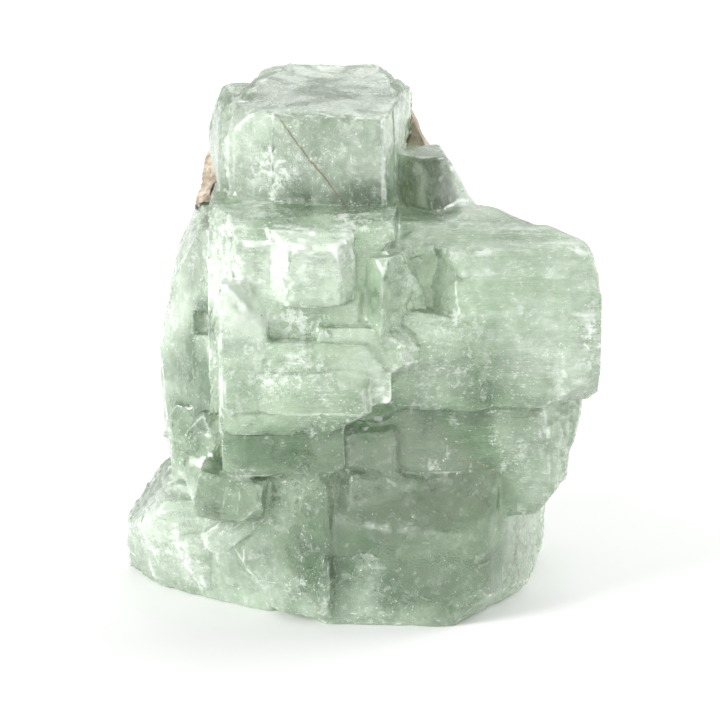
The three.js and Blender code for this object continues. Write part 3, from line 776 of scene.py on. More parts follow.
def largest_shell(mesh):
    """Removes whatever isn't joined to the largest closed shell."""
    bm = bmesh.new()
    bm.from_mesh(mesh)
    left, shells = set(bm.verts), []
    while left:
        shell, edge = set(), [left.pop()]
        while edge:
            vertex = edge.pop()
            shell.add(vertex)
            for link in vertex.link_edges:
                other = link.other_vert(vertex)
                if other in left:
                    left.discard(other)
                    edge.append(other)
        shells.append(shell)
    shells.sort(key=len)
    bmesh.ops.delete(bm, geom=[vertex for shell in shells[:-1] for vertex in shell], context="VERTS")
    bm.to_mesh(mesh)
    bm.free()


# How far the even mesh is drawn onto the exact faces, in grains of the mesh.
SNAP_REACH = 1.6


def weather(piece, parts, relief, s):
    """Remeshes a fused solid evenly, sharpens its edges again, works the relief in and thins the mesh."""
    remesh = piece.modifiers.new("even", "REMESH")
    remesh.mode = "VOXEL"
    remesh.voxel_size = s.mesh_size / MM
    apply_modifiers(piece)
    mesh = piece.data
    points = points_of(mesh)
    points = snapped(points, parts, survey(points, parts), SNAP_REACH * s.mesh_size / MM)
    move_points(mesh, points)
    found = survey(points, parts)
    normal = planes_of(parts)[0][found["part"], found["face"]]
    facing = vectors_of(mesh.vertices, "normal")
    outward = np.sign((normal * facing).sum(1))[:, None] * normal
    points = points + (outward + facing) / 2 * relief(points, found, s)[:, None]
    points = worn(mesh, points, s)
    points[:, 2] = np.maximum(points[:, 2], 0)
    move_points(mesh, points)
    thin = piece.modifiers.new("thin", "DECIMATE")
    thin.ratio = min(1, s.triangles / (2 * len(mesh.polygons)))
    apply_modifiers(piece)
    largest_shell(piece.data)
    return piece


# ---- tones, cracks and broken patches of the cluster, in its own frame ----

# Where the crystals are milky, deep green or greyish: a centre, how far it reaches each way and how strongly.
# Some patches are partly painted shade: deeper green and greyer where less light falls.
TONE_AND_SHADE_PATCHES = [
    # The barrel: milky towards its right end, green where it meets the peak.
    ((34, -18, 48), (9, 14, 12), (0.2, -0.1, 0.4)),
    ((35, -20, 44), (4, 6, 5), (-0.1, 0.05, 0.2)),
    # Greyer and deeper green along the barrel's top: partly painted shade.
    ((23, -14, 61), (14, 10, 4), (-0.2, 0.25, 0.3)),
    ((22, -20, 50), (12, 8, 6), (0.0, 0.05, 0.1)),
    ((9, -18, 56), (8, 9, 6), (0.0, -0.05, 0.0)),
    ((17, -20, 41), (14, 8, 5), (-0.1, 0.15, 0.35)),
    # The middle block, the recess under it and the white knob beside it.
    ((-6, -25, 58), (11, 8, 9), (0.35, -0.35, 0.0)),
    ((-13.5, -25, 57), (2.5, 8, 7), (0.5, -0.4, 0.0)),
    ((-10, -21, 48.5), (9, 8, 4), (-0.05, 0.05, 0.0)),
    ((-16, -23, 49), (4, 8, 3.5), (0.4, -0.35, 0.0)),
    ((-2, -23, 49), (4, 8, 3.5), (0.25, -0.2, 0.0)),
    ((-19, -21, 54), (7, 8, 9), (0.5, -0.4, 0.0)),
    # The slab and the plate in front.
    ((-14, -22, 41), (9, 8, 8), (0.25, -0.05, 0.0)),
    ((-10, -22, 28.5), (13, 8, 6), (-0.8, 0.8, 0.3)),
    ((2, -25, 42), (9, 7, 9), (0.1, 0.1, 0.15)),
    # Deeper green and greyer low in the middle: partly painted shade.
    ((2, -20, 24), (13, 10, 14), (-1.0, 1.2, 0.5)),
    # Down the left side.
    ((-23, -16, 55), (6, 8, 10), (0.35, -0.5, -0.2)),
    ((-27, -6, 54), (7, 12, 10), (0.0, 0.05, 0.0)),
    ((-25, -12, 46), (6, 6, 3.5), (-0.6, 0.9, 0.2)),
    ((-28, -7, 33), (9, 12, 14), (-0.3, 0.45, 0.0)),
    ((-34, -8, 9), (14, 14, 13), (0.1, -0.15, 0.0)),
    # Along the foot.
    ((-20, -22, 21), (9, 8, 7), (-0.4, 0.3, 0.1)),
    ((-18, -20, 7), (9, 8, 9), (0.0, 0.1, 0.2)),
    ((-6, -22, 12), (8, 8, 10), (-0.3, 0.45, 0.15)),
    # Deeper green on the front of the right foot: partly painted shade.
    ((14, -21, 13), (14, 9, 15), (-0.6, 0.5, 0.35)),
    ((10, -22, 13.5), (7, 8, 3), (0.15, -0.1, 0.0)),
    ((18, -19, 5), (6, 8, 3), (0.3, -0.1, 0.1)),
    ((27, -11, 10), (7, 13, 12), (0.2, 0.0, 0.5)),
    # The lower right, deeper green and greyer: partly its own tone, partly painted shade away from the light.
    ((13, -20, 21), (10, 8, 6), (-0.8, 0.7, 0.4)),
    ((10, -20, 27), (11, 8, 9), (-0.95, 1.0, 0.6)),
    ((20, -20, 34.5), (9, 8, 4.5), (-0.4, 0.4, 0.3)),
    ((28, -18, 25), (9, 9, 13), (0.1, -0.1, 0.5)),
    # The crown and its shoulder; the greyer patch over the crown's top is partly painted shade.
    ((-13, -9, 72), (9, 8, 11), (0.15, -0.1, 0.0)),
    ((-10, -14, 65), (4, 8, 4), (-0.2, 0.3, 0.0)),
    ((-18, -14, 65), (5, 8, 6), (0.3, -0.25, 0.0)),
    ((-21, -3, 72), (6, 9, 8), (0.15, -0.05, 0.1)),
    ((2, -11, 74), (9, 8, 8), (0.25, -0.25, 0.4)),
    ((1, -12, 64.5), (8, 8, 4.5), (-0.4, 0.35, 0.3)),
    ((-6, 2, 80), (20, 14, 4), (-0.15, 0.25, 0.5)),
    ((10, -3, 65), (6, 7, 9), (-0.5, 0.0, 0.85)),
    ((17, 1, 65), (5, 7, 7), (0.2, -0.3, 0.3)),
]

# Healed cracks, each a plane through the crystal that shows as a fine brownish line where it comes out: a
# point on it, the way it faces, how far it reaches from the point and how strongly it shows.
CRACKS = [
    ((-7.5, -10, 70.5), (0.8, 0.1, 0.6), 11, 0.85),
    ((25.1, -12, 10), (0.91, 0.0, -0.42), 8, 0.6),
    ((26, -12, 3), (0.8, 0.3, 0.5), 7, 0.4),
    ((18, -19.5, 25.2), (0.35, 0.0, 0.93), 4, 0.7),
    ((4, 23, 44), (0.5, -0.2, 0.84), 10, 0.5),
    ((-25, 12, 22), (0.4, 0.8, 0.45), 8, 0.5),
]

# Broken or overgrown places: a centre, how far it reaches each way, how rough it is and how many chips lie
# on it.
BROKEN = [
    ((-18.5, -21, 54), (5, 4, 5), 0.9, 0.1),
    ((-12, -22, 42), (12, 6, 9), 0.8, 0.0),
    ((-11, -21, 48), (9, 8, 5), 0.9, 0.03),
    ((-12, -26, 57), (4, 6, 7), 0.8, 0.0),
    ((8, -18, 56), (10, 8, 7), 0.5, 0.0),
    ((35, -18, 46), (4, 10, 10), 0.7, 0.03),
    ((0, -19, 63), (10, 5, 3), 0.7, 0.12),
    ((-3, -22, 32), (10, 6, 4), 0.8, 0.05),
    ((14, -19, 25), (9, 5, 4), 0.7, 0.0),
    ((-32, -8, 10), (9, 10, 9), 0.9, 0.02),
    ((-27, -14, 52), (7, 9, 16), 0.6, 0.02),
    ((-15, -9, 68), (8, 7, 9), 0.6, 0.0),
    ((0, 9, 63), (18, 9, 5), 0.7, 0.6),
    ((-10, 26, 50), (13, 8, 9), 0.8, 0.5),
    ((10, 24, 28), (12, 7, 9), 0.8, 0.5),
    ((24, 12, 40), (8, 9, 8), 0.7, 0.4),
    ((-28, 12, 22), (7, 9, 7), 0.7, 0.4),
]

# Where edges and relief are worn soft (above 0) or stay quite crisp (below 0): a centre, its reach and how
# much.
WORN = [
    ((-1.4, -22, 14.4), (6, 6, 5), 1.0),
    ((-2, -22, 12), (4, 8, 14), 0.7),
    ((15, -19, 13), (22, 14, 17), 0.75),
    ((16, -17, 27), (17, 10, 8), 0.6),
    ((-35, -8, 8), (13, 14, 11), 0.5),
    ((-22, -3, 72), (7, 12, 10), 0.8),
    ((11, -5, 72), (5, 12, 12), 0.5),
    ((-5, 0, 81), (20, 14, 4), 0.5),
    ((22, -10, 61), (18, 14, 6), 0.6),
    ((24, -19, 52), (15, 9, 8), 0.45),
    ((25, -19, 58), (11, 7, 5), 0.8),
    ((4, -21, 27), (7, 8, 7), 0.8),
    ((6, -22, 18), (11, 8, 4), 1.0),
    ((0, 26, 34), (26, 10, 26), 0.4),
    ((34, 12, 20), (10, 16, 22), 0.5),
    ((-14.5, -23, 48), (4, 6, 5), 0.6),
    ((-8, -26, 57), (10, 8, 9), -1),
    ((8, -19, 54), (9, 8, 10), -1),
    ((-20, -19, 56), (5, 7, 8), -1),
]

# A patch is at its full strength up to the second share of its reach, and gone at the first.
PATCH_FADE = (1.15, 0.35)
# The tones away from the patches, each for milky, deep green and grey: their mean, how far the pattern swings
# them, how far each crystal and each face differs from the next, and where the patterns start. Each face's
# difference is in part painted light and shade, for faces that catch the light differently.
MEAN_TONE = (0.36, 0.28, 0.12)
TONE_SWING = 0.4
TONE_STARTS = (5, 9, 3)
CRYSTAL_TONES = ((0.1, 62), (0.1, 72))
FACE_TONE_AND_SHADE = ((0.12, 63), (0.1, 73), (0.1, 83))
# Numbers that keep the patterns of crystals, parts and faces apart.
CRYSTAL_STEP = 3.1
PART_STEP = 1.7
FACE_STEP = 5.3
# Painted light and shade: the tones turn milkier towards the edges, a painted glow of thin edges, and deeper
# green towards the joints between crystals, a painted shade in the creases; and how far each reaches.
EDGE_GLOW_REACH = (3.2, 0.2)
EDGE_GLOW_TONE = (0.05, -0.05, 0.0)
CREASE_SHADE_REACH = (3.0, 0.0)
CREASE_SHADE_TONE = (-0.05, 0.08, 0.0)
# Streaks: a least value and a spread for crystals that lie and that stand, how far the pattern swings them,
# and the faintest they get.
LYING_STREAKS = (0.75, 0.25)
STANDING_STREAKS = (0.1, 0.3)
STREAK_SWING = 0.35
FAINTEST = 0.05
STREAK_SEED = 31
STREAK_SEED_STEP = 5
# How rough the crystals are away from the broken patches, how far the pattern swings that, and how much of it
# soft wear takes away.
MEAN_ROUGH = 0.3
ROUGH_SWING = 0.3
SOFT_SMOOTHS = 0.8
# How far one crystal's growth is moved from the next one's in the material.
OWN_GRAIN = 7.3


def reach_of(points, centre, reach):
    """1 at the centre of a patch, falling smoothly to 0 at its edge."""
    away = np.linalg.norm((points - centre) / reach, axis=1)
    return smoothstep(*PATCH_FADE, away)


def soft_of(points):
    """How softly worn each point is; below 0 where it is crisp."""
    soft, crisp = np.zeros(len(points)), np.zeros(len(points))
    for centre, reach, strength in WORN:
        near = reach_of(points, centre, reach) * strength
        soft, crisp = np.maximum(soft, near), np.minimum(crisp, near)
    return soft + crisp


def tone_of(points, found):
    """How milky, how deep green and how grey the crystal is at each point, from 0 to 1, painted light and
    shade included.
    """
    own = found["owner"][:, None] * np.full(3, CRYSTAL_STEP) + 0.5
    face = own + (found["part"] * PART_STEP + found["face"] * FACE_STEP)[:, None]
    tone = np.tile(MEAN_TONE, (len(points), 1))
    for column, (name, start) in enumerate(zip(("milky", "deep", "grey"), TONE_STARTS)):
        tone[:, column] += TONE_SWING * pattern(name, points, start)
    # Each crystal's own tone, and each face's, which is in part painted light and shade.
    for place, swings in ((own, CRYSTAL_TONES), (face, FACE_TONE_AND_SHADE)):
        for column, (swing, seed) in enumerate(swings):
            tone[:, column] += swing * lattice(place, seed)
    # Painted glow along the edges, and painted shade in the creases between crystals.
    tone += smoothstep(*EDGE_GLOW_REACH, found["edge"])[:, None] * EDGE_GLOW_TONE
    tone += smoothstep(*CREASE_SHADE_REACH, found["crease"])[:, None] * CREASE_SHADE_TONE
    for centre, reach, strength in TONE_AND_SHADE_PATCHES:
        tone += reach_of(points, centre, reach)[:, None] * strength
    return np.clip(tone, 0, 1)


def streak_of(points, found):
    """How strongly the growth along the c axis shows: more on the crystals that lie across the cluster."""
    base = []
    for number, spec in enumerate(CRYSTALS.values()):
        dice = Dice(STREAK_SEED + STREAK_SEED_STEP * number)
        base.append(dice.within(*(LYING_STREAKS if spec["c"] == 0 else STANDING_STREAKS)))
    streaks = np.array(base)[found["owner"]] + STREAK_SWING * pattern("streaky", points)
    return np.clip(streaks, FAINTEST, 1)


def broken_of(points, column):
    """How rough each point is (column 0), or how thickly chips lie on it (column 1)."""
    total = (1 - column) * (MEAN_ROUGH + ROUGH_SWING * pattern("broken", points))
    for centre, reach, *strengths in BROKEN:
        total = np.maximum(total, reach_of(points, centre, reach) * strengths[column])
    return total * (1 - SOFT_SMOOTHS * np.clip(soft_of(points), 0, 1))


def store(mesh, name, values, domain="POINT"):
    """Keeps numbers or vectors with the mesh, for its material to read."""
    kind, field = ("FLOAT_VECTOR", "vector") if values.ndim == 2 else ("FLOAT", "value")
    layer = mesh.attributes.new(name, kind, domain)
    layer.data.foreach_set(field, np.ascontiguousarray(values, np.float32).ravel())


def corner_grain(mesh, parts):
    """At each face corner, its place across and along its own crystal."""
    found = survey(vectors_of(mesh.polygons, "center"), parts)
    part = np.repeat(found["part"], numbers_of(mesh.polygons, "loop_total"))
    corners = numbers_of(mesh.loops, "vertex_index")
    grain = grain_of(points_of(mesh)[corners], part, parts)[0]
    owner = np.array([one.owner for one in parts])[part]
    return grain + owner[:, None] * OWN_GRAIN


def settle(piece, shift, s, node):
    """Bends a piece a little and moves it from its own frame, in millimetres, to its place, in metres, within
    the box of its solid."""
    low, high = (np.array(corner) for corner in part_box(node))
    points = (wander(points_of(piece.data), s) + shift) * MM
    move_points(piece.data, np.clip(points, low, high))


# ---- materials ----


class Link:
    """A node's output, so that the maths of a tree reads as an expression."""

    def __init__(self, nodes, socket):
        """Wraps an output socket of one of the nodes."""
        self.nodes = nodes
        self.socket = socket

    def work(self, operation, first, second):
        """The output of one Math node."""
        return self.nodes.node("ShaderNodeMath", {"operation": operation}, {0: first, 1: second})

    def __add__(self, other):
        """Link + other."""
        return self.work("ADD", self, other)

    def __sub__(self, other):
        """Link - other."""
        return self.work("SUBTRACT", self, other)

    def __rsub__(self, other):
        """Number - link."""
        return self.work("SUBTRACT", other, self)

    def __mul__(self, other):
        """Link * other."""
        return self.work("MULTIPLY", self, other)

    __radd__ = __add__
    __rmul__ = __mul__

    def over(self, other):
        """The share covered by either of two masks."""
        return self + other - self * other


class Nodes:
    """A tree whose nodes are made one expression at a time."""

    def __init__(self, tree):
        """Starts with a tree that has no nodes of its own."""
        self.tree = tree
        self.tree.nodes.clear()

    def node(self, kind, settings=None, sockets=None, output=0):
        """Adds a node: its settings first, then the values or links of its sockets; gives one output."""
        node = self.tree.nodes.new(kind)
        for name, value in (settings or {}).items():
            setattr(node, name, value)
        for name, value in (sockets or {}).items():
            socket = node.inputs[name] if isinstance(name, int) else self.find(node.inputs, name)
            if isinstance(value, Link):
                self.tree.links.new(value.socket, socket)
            else:
                socket.default_value = value
        if node.outputs:
            out = node.outputs[output] if isinstance(output, int) else self.find(node.outputs, output)
            return Link(self, out)

    @staticmethod
    def find(sockets, name):
        """The socket in use that has this name."""
        return next(socket for socket in sockets if socket.name == name and socket.enabled)


class Finish(Nodes):
    """A material, with the patterns and the colours that its finish is made of."""

    def __init__(self, name):
        """Starts an empty material."""
        self.material = bpy.data.materials.new(name)
        self.material.use_nodes = True
        super().__init__(self.material.node_tree)

    def step(self, value, low, high):
        """0 below low, 1 above high and smooth between."""
        return self.node(
            "ShaderNodeMapRange", {"interpolation_type": "SMOOTHSTEP"},
            {"Value": value, "From Min": low, "From Max": high},
        )

    def vector(self, operation, first, second, output=0):
        """The output of one Vector Math node."""
        return self.node("ShaderNodeVectorMath", {"operation": operation}, {0: first, 1: second}, output)

    def scaled(self, place, size):
        """A place in grains of a pattern; size is one grain in millimetres, or one for each axis."""
        return self.vector("DIVIDE", place, size if isinstance(size, tuple) else (size,) * 3)

    def noise(self, place, size, detail=3, roughness=0.55, distortion=0.0):
        """Cloudy noise about 0.5."""
        return self.node(
            "ShaderNodeTexNoise", {"noise_dimensions": "3D"},
            {
                "Vector": self.scaled(place, size), "Scale": 1.0, "Detail": detail, "Roughness": roughness,
                "Distortion": distortion,
            },
        )

    def cells(self, place, size, feature="F1", output=0):
        """Cells without order: the distance to their middles or edges, or their colours."""
        sockets = {"Vector": self.scaled(place, size), "Scale": 1.0}
        return self.node("ShaderNodeTexVoronoi", {"feature": feature}, sockets, output)

    def mix(self, factor, first, second):
        """Two colours mixed."""
        return self.node(
            "ShaderNodeMix", {"data_type": "RGBA", "clamp_factor": True},
            {"Factor": factor, "A": first, "B": second}, "Result",
        )

    def read(self, name, output=1):
        """A vector kept with the mesh, or with output 2 a number."""
        return self.node("ShaderNodeAttribute", {"attribute_name": name}, output=output)

    def split(self, vector):
        """The three numbers of a vector."""
        node = self.node("ShaderNodeSeparateXYZ", sockets={0: vector}).socket.node
        return [Link(self, out) for out in node.outputs]

    def blend(self, patterns, shares):
        """Patterns added up, each by its share; a share named plain is a number of its own."""
        total = shares.get("plain")
        for name, share in shares.items():
            if name != "plain":
                part = patterns[name] if share == 1 else patterns[name] * share
                total = part if total is None else part + total
        return total

    def crack(self, place, wave, at, facing, reach):
        """A fine, slightly wavy line where a plane through a point comes out, as far as its reach."""
        away = self.vector("SUBTRACT", place, tuple(at))
        across = self.vector("DOT_PRODUCT", away, facing, "Value")
        bent = across + wave * CRACK_WAVE
        off = bent.work("ABSOLUTE", bent, 0.0)
        length = self.vector("LENGTH", away, (0.0, 0.0, 0.0), "Value")
        return (
            self.step(off, *CRACK_WIDTH) * self.step(length, reach, reach * CRACK_FADE)
            * self.step(wave, *CRACK_GAPS)
        )

    def place(self):
        """Where a point is on the object, in millimetres."""
        at = self.node("ShaderNodeTexCoord", output=3)
        return self.node("ShaderNodeVectorMath", {"operation": "SCALE"}, {0: at, "Scale": 1 / MM})

    def bump(self, strength, distance, height):
        """The normal over a height, with a distance in millimetres."""
        sockets = {"Strength": strength, "Distance": distance * MM, "Height": height}
        return self.node("ShaderNodeBump", None, sockets)

    def close(self, sockets, volume=None, cover=None):
        """The shader that the material ends in; where cover is 1, nothing shines through it."""
        shader = self.node("ShaderNodeBsdfPrincipled", sockets=sockets)
        if cover:
            solid = self.node("ShaderNodeBsdfPrincipled", sockets={**sockets, "Transmission Weight": 0.0})
            shader = self.node("ShaderNodeMixShader", sockets={0: cover, 1: shader, 2: solid})
        ends = {"Surface": shader}
        if volume:
            ends["Volume"] = self.node("ShaderNodeVolumeAbsorption", sockets=volume)
        self.node("ShaderNodeOutputMaterial", sockets=ends)
        return self.material


# Cracks: how far they wave and how wide they are, in millimetres, at which share of their reach they start to
# fade, and where the pattern leaves gaps in them.
CRACK_WAVE = 0.9
CRACK_WIDTH = (0.2, 0.06)
CRACK_FADE = 0.6
CRACK_GAPS = (-0.35, -0.15)

# Clouds in the crystal: their grain in millimetres, detail, roughness and distortion.
CLOUDS = {
    "cloud": (9, 2, 0.5, 0.7),
    "drift": (3.6, 3, 0.55, 0.5),
    "mottle": (1.3, 3, 0.6),
    "crumb": (0.45, 2, 0.6),
    "crust": (1.1, 4, 0.78),
    "fall": (1.5, 4, 0.68),
}
# Streaks along its growth, from long to short.
STREAKS = {
    "streak": ((1.0, 1.0, 12), 4, 0.6),
    "fine": ((0.3, 0.3, 4.2), 3, 0.6),
    "short": ((0.26, 0.26, 1.5), 3, 0.6),
}
# Its masks: the patterns that go into each, by their shares, and where it starts and where it is full.
MASKS = {
    "depth": (
        {"deep": 1, "cloud": 0.9, "drift": 0.75, "mottle": 0.45, "streak": 0.6, "fine": 0.3}, -0.1, 1.1,
    ),
    "dull": ({"grey": 1, "drift": 0.7, "cloud": -0.5}, 0.1, 1.0),
    "haze": ({"milk": 1, "cloud": -0.8, "drift": 0.4, "mottle": 0.4, "streak": 0.9, "fine": 0.4}, 0.0, 1.1),
    "veiled": ({"cloud": 1}, 0.0, 0.12),
    "flaked": ({"cloud": 1, "drift": 1, "rough": 0.16}, 0.04, 0.2),
    "crusted": ({"crust": 1, "drift": 0.35, "rough": 0.16}, 0.12, 0.19),
    "dashed": ({"short": 1, "crumb": 0.3, "mottle": 0.4, "drift": 0.2, "rough": 0.06}, 0.1, 0.17),
    "growing": ({"streaky": 1, "rough": 0.3}, 0.3, 0.9),
    "snowy": ({"fall": 1, "cloud": 0.3}, -0.04, 0.2),
    "murky": ({"fall": 1, "cloud": 0.3}, -0.03, -0.18),
    "gritty": ({"mottle": 1, "rough": 0.3, "milk": 0.1}, 0.04, 0.2),
    "near_edge": ({"edge": 1}, 0.4, 1.0),
    "bruised_and_lit": ({"drift": 1, "mottle": 0.3}, -0.14, 0.12),
    "on_edge": ({"edge": 1}, 0.72, 0.9),
    "lined": ({"cloud": 1, "drift": 1}, -0.16, 0.02),
    "roughened": ({"rough": 1}, 0.02, 0.25),
    "joined": ({"joint": 1}, 0.6, 0.95),
    "shaded": ({"drift": 1, "mottle": 0.6}, -0.02, 0.14),
    "specked": ({"crumb": 1, "mottle": 0.3}, 0.17, 0.21),
    "roughest": ({"rough": 1}, 0.85, 0.97),
    "clustered": ({"cloud": 1}, 0.0, 0.06),
}
# How strongly some of its layers show: plain is everywhere, and the rest grows with a pattern.
SHOWN = {
    "seam": {"plain": 0.15, "haze": 0.5},
    "frost": {"plain": 0.1, "rough": 0.9},
    "white": {"plain": 0.4, "haze": 0.6},
    "snow": {"plain": 0.3, "milk": 0.5, "streaky": -0.25},
    "murk": {"plain": 0.3, "deep": 0.5},
    "edge": {"plain": 0.35, "haze": 0.65},
}
# How much each layer covers of the colour under it, and how much of it lets nothing shine through.
HIDES = {
    "dull": 0.85, "haze": 0.95, "flake_glint": 0.7, "frost": 0.8, "dash": 0.4, "snow": 0.5, "murk": 0.28,
    "grit": 0.8, "edge_bruise_and_highlight": 0.35, "line": 0.5, "crease_shade": 0.2, "speck": 0.5,
}
BLOCKS = {"haze": 0.4, "frost": 0.8, "dash": 0.4, "snow": 0.35, "grit": 0.6, "line": 0.5}
# What makes its fine relief everywhere and where it is rough, by their shares, and what makes it dull. The
# relief's strength, and its height in millimetres.
HEIGHTS = {"streak": 0.5, "fine": 0.4, "short": 0.3, "crumb": 0.15}
ROUGH_HEIGHTS = {"mottle": 0.3, "crust": 0.45}
DULLNESS = {"rough": 0.15, "mottle": 0.15, "cloud": 0.2, "haze": 0.18, "edge_bruise_and_highlight": 0.1}
BUMP = (0.6, 0.4)
# Seams and flakes inside, the flakes painted glints: how they curl, how large their cells are, in
# millimetres, and where they start.
CURL = {"Scale": 0.22, "Detail": 3.0}
SEAM_CURL = (5.5, 5.5, 5.5)
SEAM_SIZE = 8.5
SEAM_WIDTH = (0.02, 0.004)
FLAKE_CURL = (1.4, 1.4, 0.8)
FLAKE_SIZE = (1.7, 1.7, 0.8)
FLAKE_SHARE = (0.8, 0.95)
# Grit, white flecks that are partly frosted grains and partly painted glints: its grain in millimetres and
# its detail, and where it starts.
GRIT = (0.28, 2)
GRIT_SHARE = (0.62, 0.7)
# How deep red, green and blue light scatter beside each other, and how dull the gloss is.
GLOW_RADIUS = (0.8, 1.0, 0.8)
GLOSS_ROUGHNESS = 0.1


def opaque(colour):
    """A colour with full alpha."""
    return (*colour, 1.0)


def crystal_patterns(m, place, grain):
    """The crystal's patterns by their names: what its mesh keeps, its clouds, its streaks and its masks."""
    p = dict(zip(("milk", "deep", "grey"), m.split(m.read("tone"))))
    p.update(zip(("edge", "joint", "rough"), m.split(m.read("worn"))))
    p["streaky"] = m.read("streaky", 2)
    for name, recipe in CLOUDS.items():
        p[name] = m.noise(place, *recipe) - 0.5
    for name, recipe in STREAKS.items():
        p[name] = (m.noise(grain, *recipe) - 0.5) * p["streaky"]
    for name, (shares, low, high) in MASKS.items():
        p[name] = m.step(m.blend(p, shares), low, high)
    return p


def crystal_flaws(m, p, place, grain):
    """Flaws inside the crystal. Seams are healed cracks that run through it as fine pale lines, each for a
    short way, and flakes are painted glints: flat bright patches of cleavage in steps along its growth."""
    curl = m.node("ShaderNodeTexNoise", None, {"Vector": place, **CURL}, 1)
    bent = m.vector("ADD", place, m.vector("MULTIPLY", curl, SEAM_CURL))
    seam = m.step(m.cells(bent, SEAM_SIZE, "DISTANCE_TO_EDGE"), *SEAM_WIDTH) * p["veiled"]
    slant = m.vector("ADD", grain, m.vector("MULTIPLY", curl, FLAKE_CURL))
    # Flakes: painted glints of cleavage inside.
    flake_glint = m.node("ShaderNodeSeparateColor", sockets={0: m.cells(slant, FLAKE_SIZE, "F1", "Color")})
    return seam, m.step(flake_glint, *FLAKE_SHARE) * p["flaked"]


def crystal_finish(s, shift):
    """Clear to milky pale green crystal, cloudy inside, streaked along its growth, with veils and flaws."""
    m = Finish("apophyllite")
    place, grain = m.place(), m.read("grain")
    p = crystal_patterns(m, place, grain)
    seam, flake_glint = crystal_flaws(m, p, place, grain)
    shown = {name: m.blend(p, shares) for name, shares in SHOWN.items()}

    # Frosting: white crusts where it is rough, short dashes along the growth, snow where it is milky.
    frost = p["crusted"] * shown["frost"]
    dash = p["dashed"] * p["growing"]
    white = (frost * HIDES["frost"] + dash * HIDES["dash"]) * shown["white"]
    snow = p["snowy"] * shown["snow"]
    murk = p["murky"] * shown["murk"]
    # White flecks: partly frosted grains, partly painted glints.
    grit = m.step(m.noise(place, *GRIT), *GRIT_SHARE) * p["gritty"]

    # Pale bruises and lines along the edges, partly worn and partly a painted highlight, painted shade where
    # crystals meet, and a few brown specks.
    # Pale along the edges: partly bruised, partly a painted highlight.
    edge_bruise_and_highlight = p["near_edge"] * p["bruised_and_lit"]
    line = p["on_edge"] * p["lined"] * p["roughened"]
    rim = (edge_bruise_and_highlight * HIDES["edge_bruise_and_highlight"] + line * HIDES["line"]) * shown["edge"]
    # Painted shade in the creases where crystals meet.
    crease_shade = p["joined"] * p["shaded"]
    speck = p["specked"] * p["roughest"] * p["clustered"]

    colour = m.mix(p["depth"], opaque(s.pale), opaque(s.deep))
    for mask, over in (
        (p["dull"] * HIDES["dull"], s.grey), (p["haze"] * HIDES["haze"], s.milk),
        (seam * shown["seam"] * s.flaws, s.milk), (flake_glint * s.flaws * HIDES["flake_glint"], s.frost),
        (white, s.frost), (snow * HIDES["snow"], s.frost), (murk * HIDES["murk"], s.deep),
        (grit * HIDES["grit"], s.frost), (rim, s.frost), (crease_shade * HIDES["crease_shade"], s.deep),
    ):
        colour = m.mix(mask, colour, opaque(over))
    for at, facing, reach, strength in CRACKS:
        crack = m.crack(place, p["drift"], Vector(at) + Vector(shift), facing, reach)
        colour = m.mix(crack * strength, colour, opaque(s.stain))
    colour = m.mix(speck * HIDES["speck"], colour, opaque(s.stain))

    p["edge_bruise_and_highlight"] = edge_bruise_and_highlight
    layers = {"haze": p["haze"], "frost": frost, "dash": dash, "snow": snow, "grit": grit, "line": line}
    cover = None
    for name, layer in layers.items():
        part = layer * BLOCKS[name]
        cover = cover.over(part) if cover else part
    height = m.blend(p, HEIGHTS) + p["rough"] * m.blend(p, ROUGH_HEIGHTS)
    return m.close(
        {
            "Base Color": colour, "Roughness": m.blend(p, {"plain": s.frosting, **DULLNESS}),
            "Normal": m.bump(*BUMP, height), "IOR": s.ior, "Transmission Weight": s.clearness,
            "Subsurface Weight": s.glow, "Subsurface Radius": GLOW_RADIUS, "Subsurface Scale": s.glow_depth,
            "Coat Weight": s.gloss, "Coat Roughness": GLOSS_ROUGHNESS,
        },
        {"Color": opaque(s.tint), "Density": s.density}, cover,
    )


# The rock's patterns: their grain in millimetres, detail and roughness.
ROCK_PATCHES = (5, 4, 0.6)
ROCK_GRAINS = (0.9, 4, 0.65)
ROCK_DUST = (0.3, 3)
FLECK_CLOUDS = (3, 2)
FLECK_SIZE = 1.1
# Where tan patches, dark grains and pale flecks start and where they are full.
TAN_START = (0.36, 0.64)
DARK_START = (0.42, 0.72)
FLECK_WIDTH = (0.34, 0.12)
FLECK_START = (0.5, 0.62)
# How much the dark grains, the flecks and the painted shade in the pits cover.
DARK_SHARE = 0.7
FLECK_SHARE = 0.6
PIT_SHADE_SHARE = 0.6
# The rock's fine relief: its strength, its height in millimetres and what makes it; and what makes it dull.
ROCK_BUMP = (0.8, 0.3)
ROCK_HEIGHTS = {"grain": 0.7, "dust": 0.4}
ROCK_DULLNESS = {"plain": 0.72, "grain": 0.2}


def rock_finish(s):
    """Dull brown basalt with rusty and pale grains."""
    m = Finish("brown_rock")
    place = m.place()
    pit = m.split(m.read("pit"))[0]
    p = {"grain": m.noise(place, *ROCK_GRAINS), "dust": m.noise(place, *ROCK_DUST)}
    fleck = m.step(m.cells(place, FLECK_SIZE), *FLECK_WIDTH)
    fleck = fleck * m.step(m.noise(place, *FLECK_CLOUDS), *FLECK_START)
    colour = m.mix(m.step(m.noise(place, *ROCK_PATCHES), *TAN_START), opaque(s.brown), opaque(s.tan))
    colour = m.mix(m.step(p["grain"], *DARK_START) * DARK_SHARE, colour, opaque(s.dark))
    colour = m.mix(fleck * FLECK_SHARE, colour, opaque(s.fleck))
    # Painted shade: the rock darker in its pits.
    colour = m.mix(pit * PIT_SHADE_SHARE, colour, opaque(s.dark))
    bump = m.bump(*ROCK_BUMP, m.blend(p, ROCK_HEIGHTS))
    return m.close({"Base Color": colour, "Roughness": m.blend(p, ROCK_DULLNESS), "Normal": bump})


# ---- settings ----

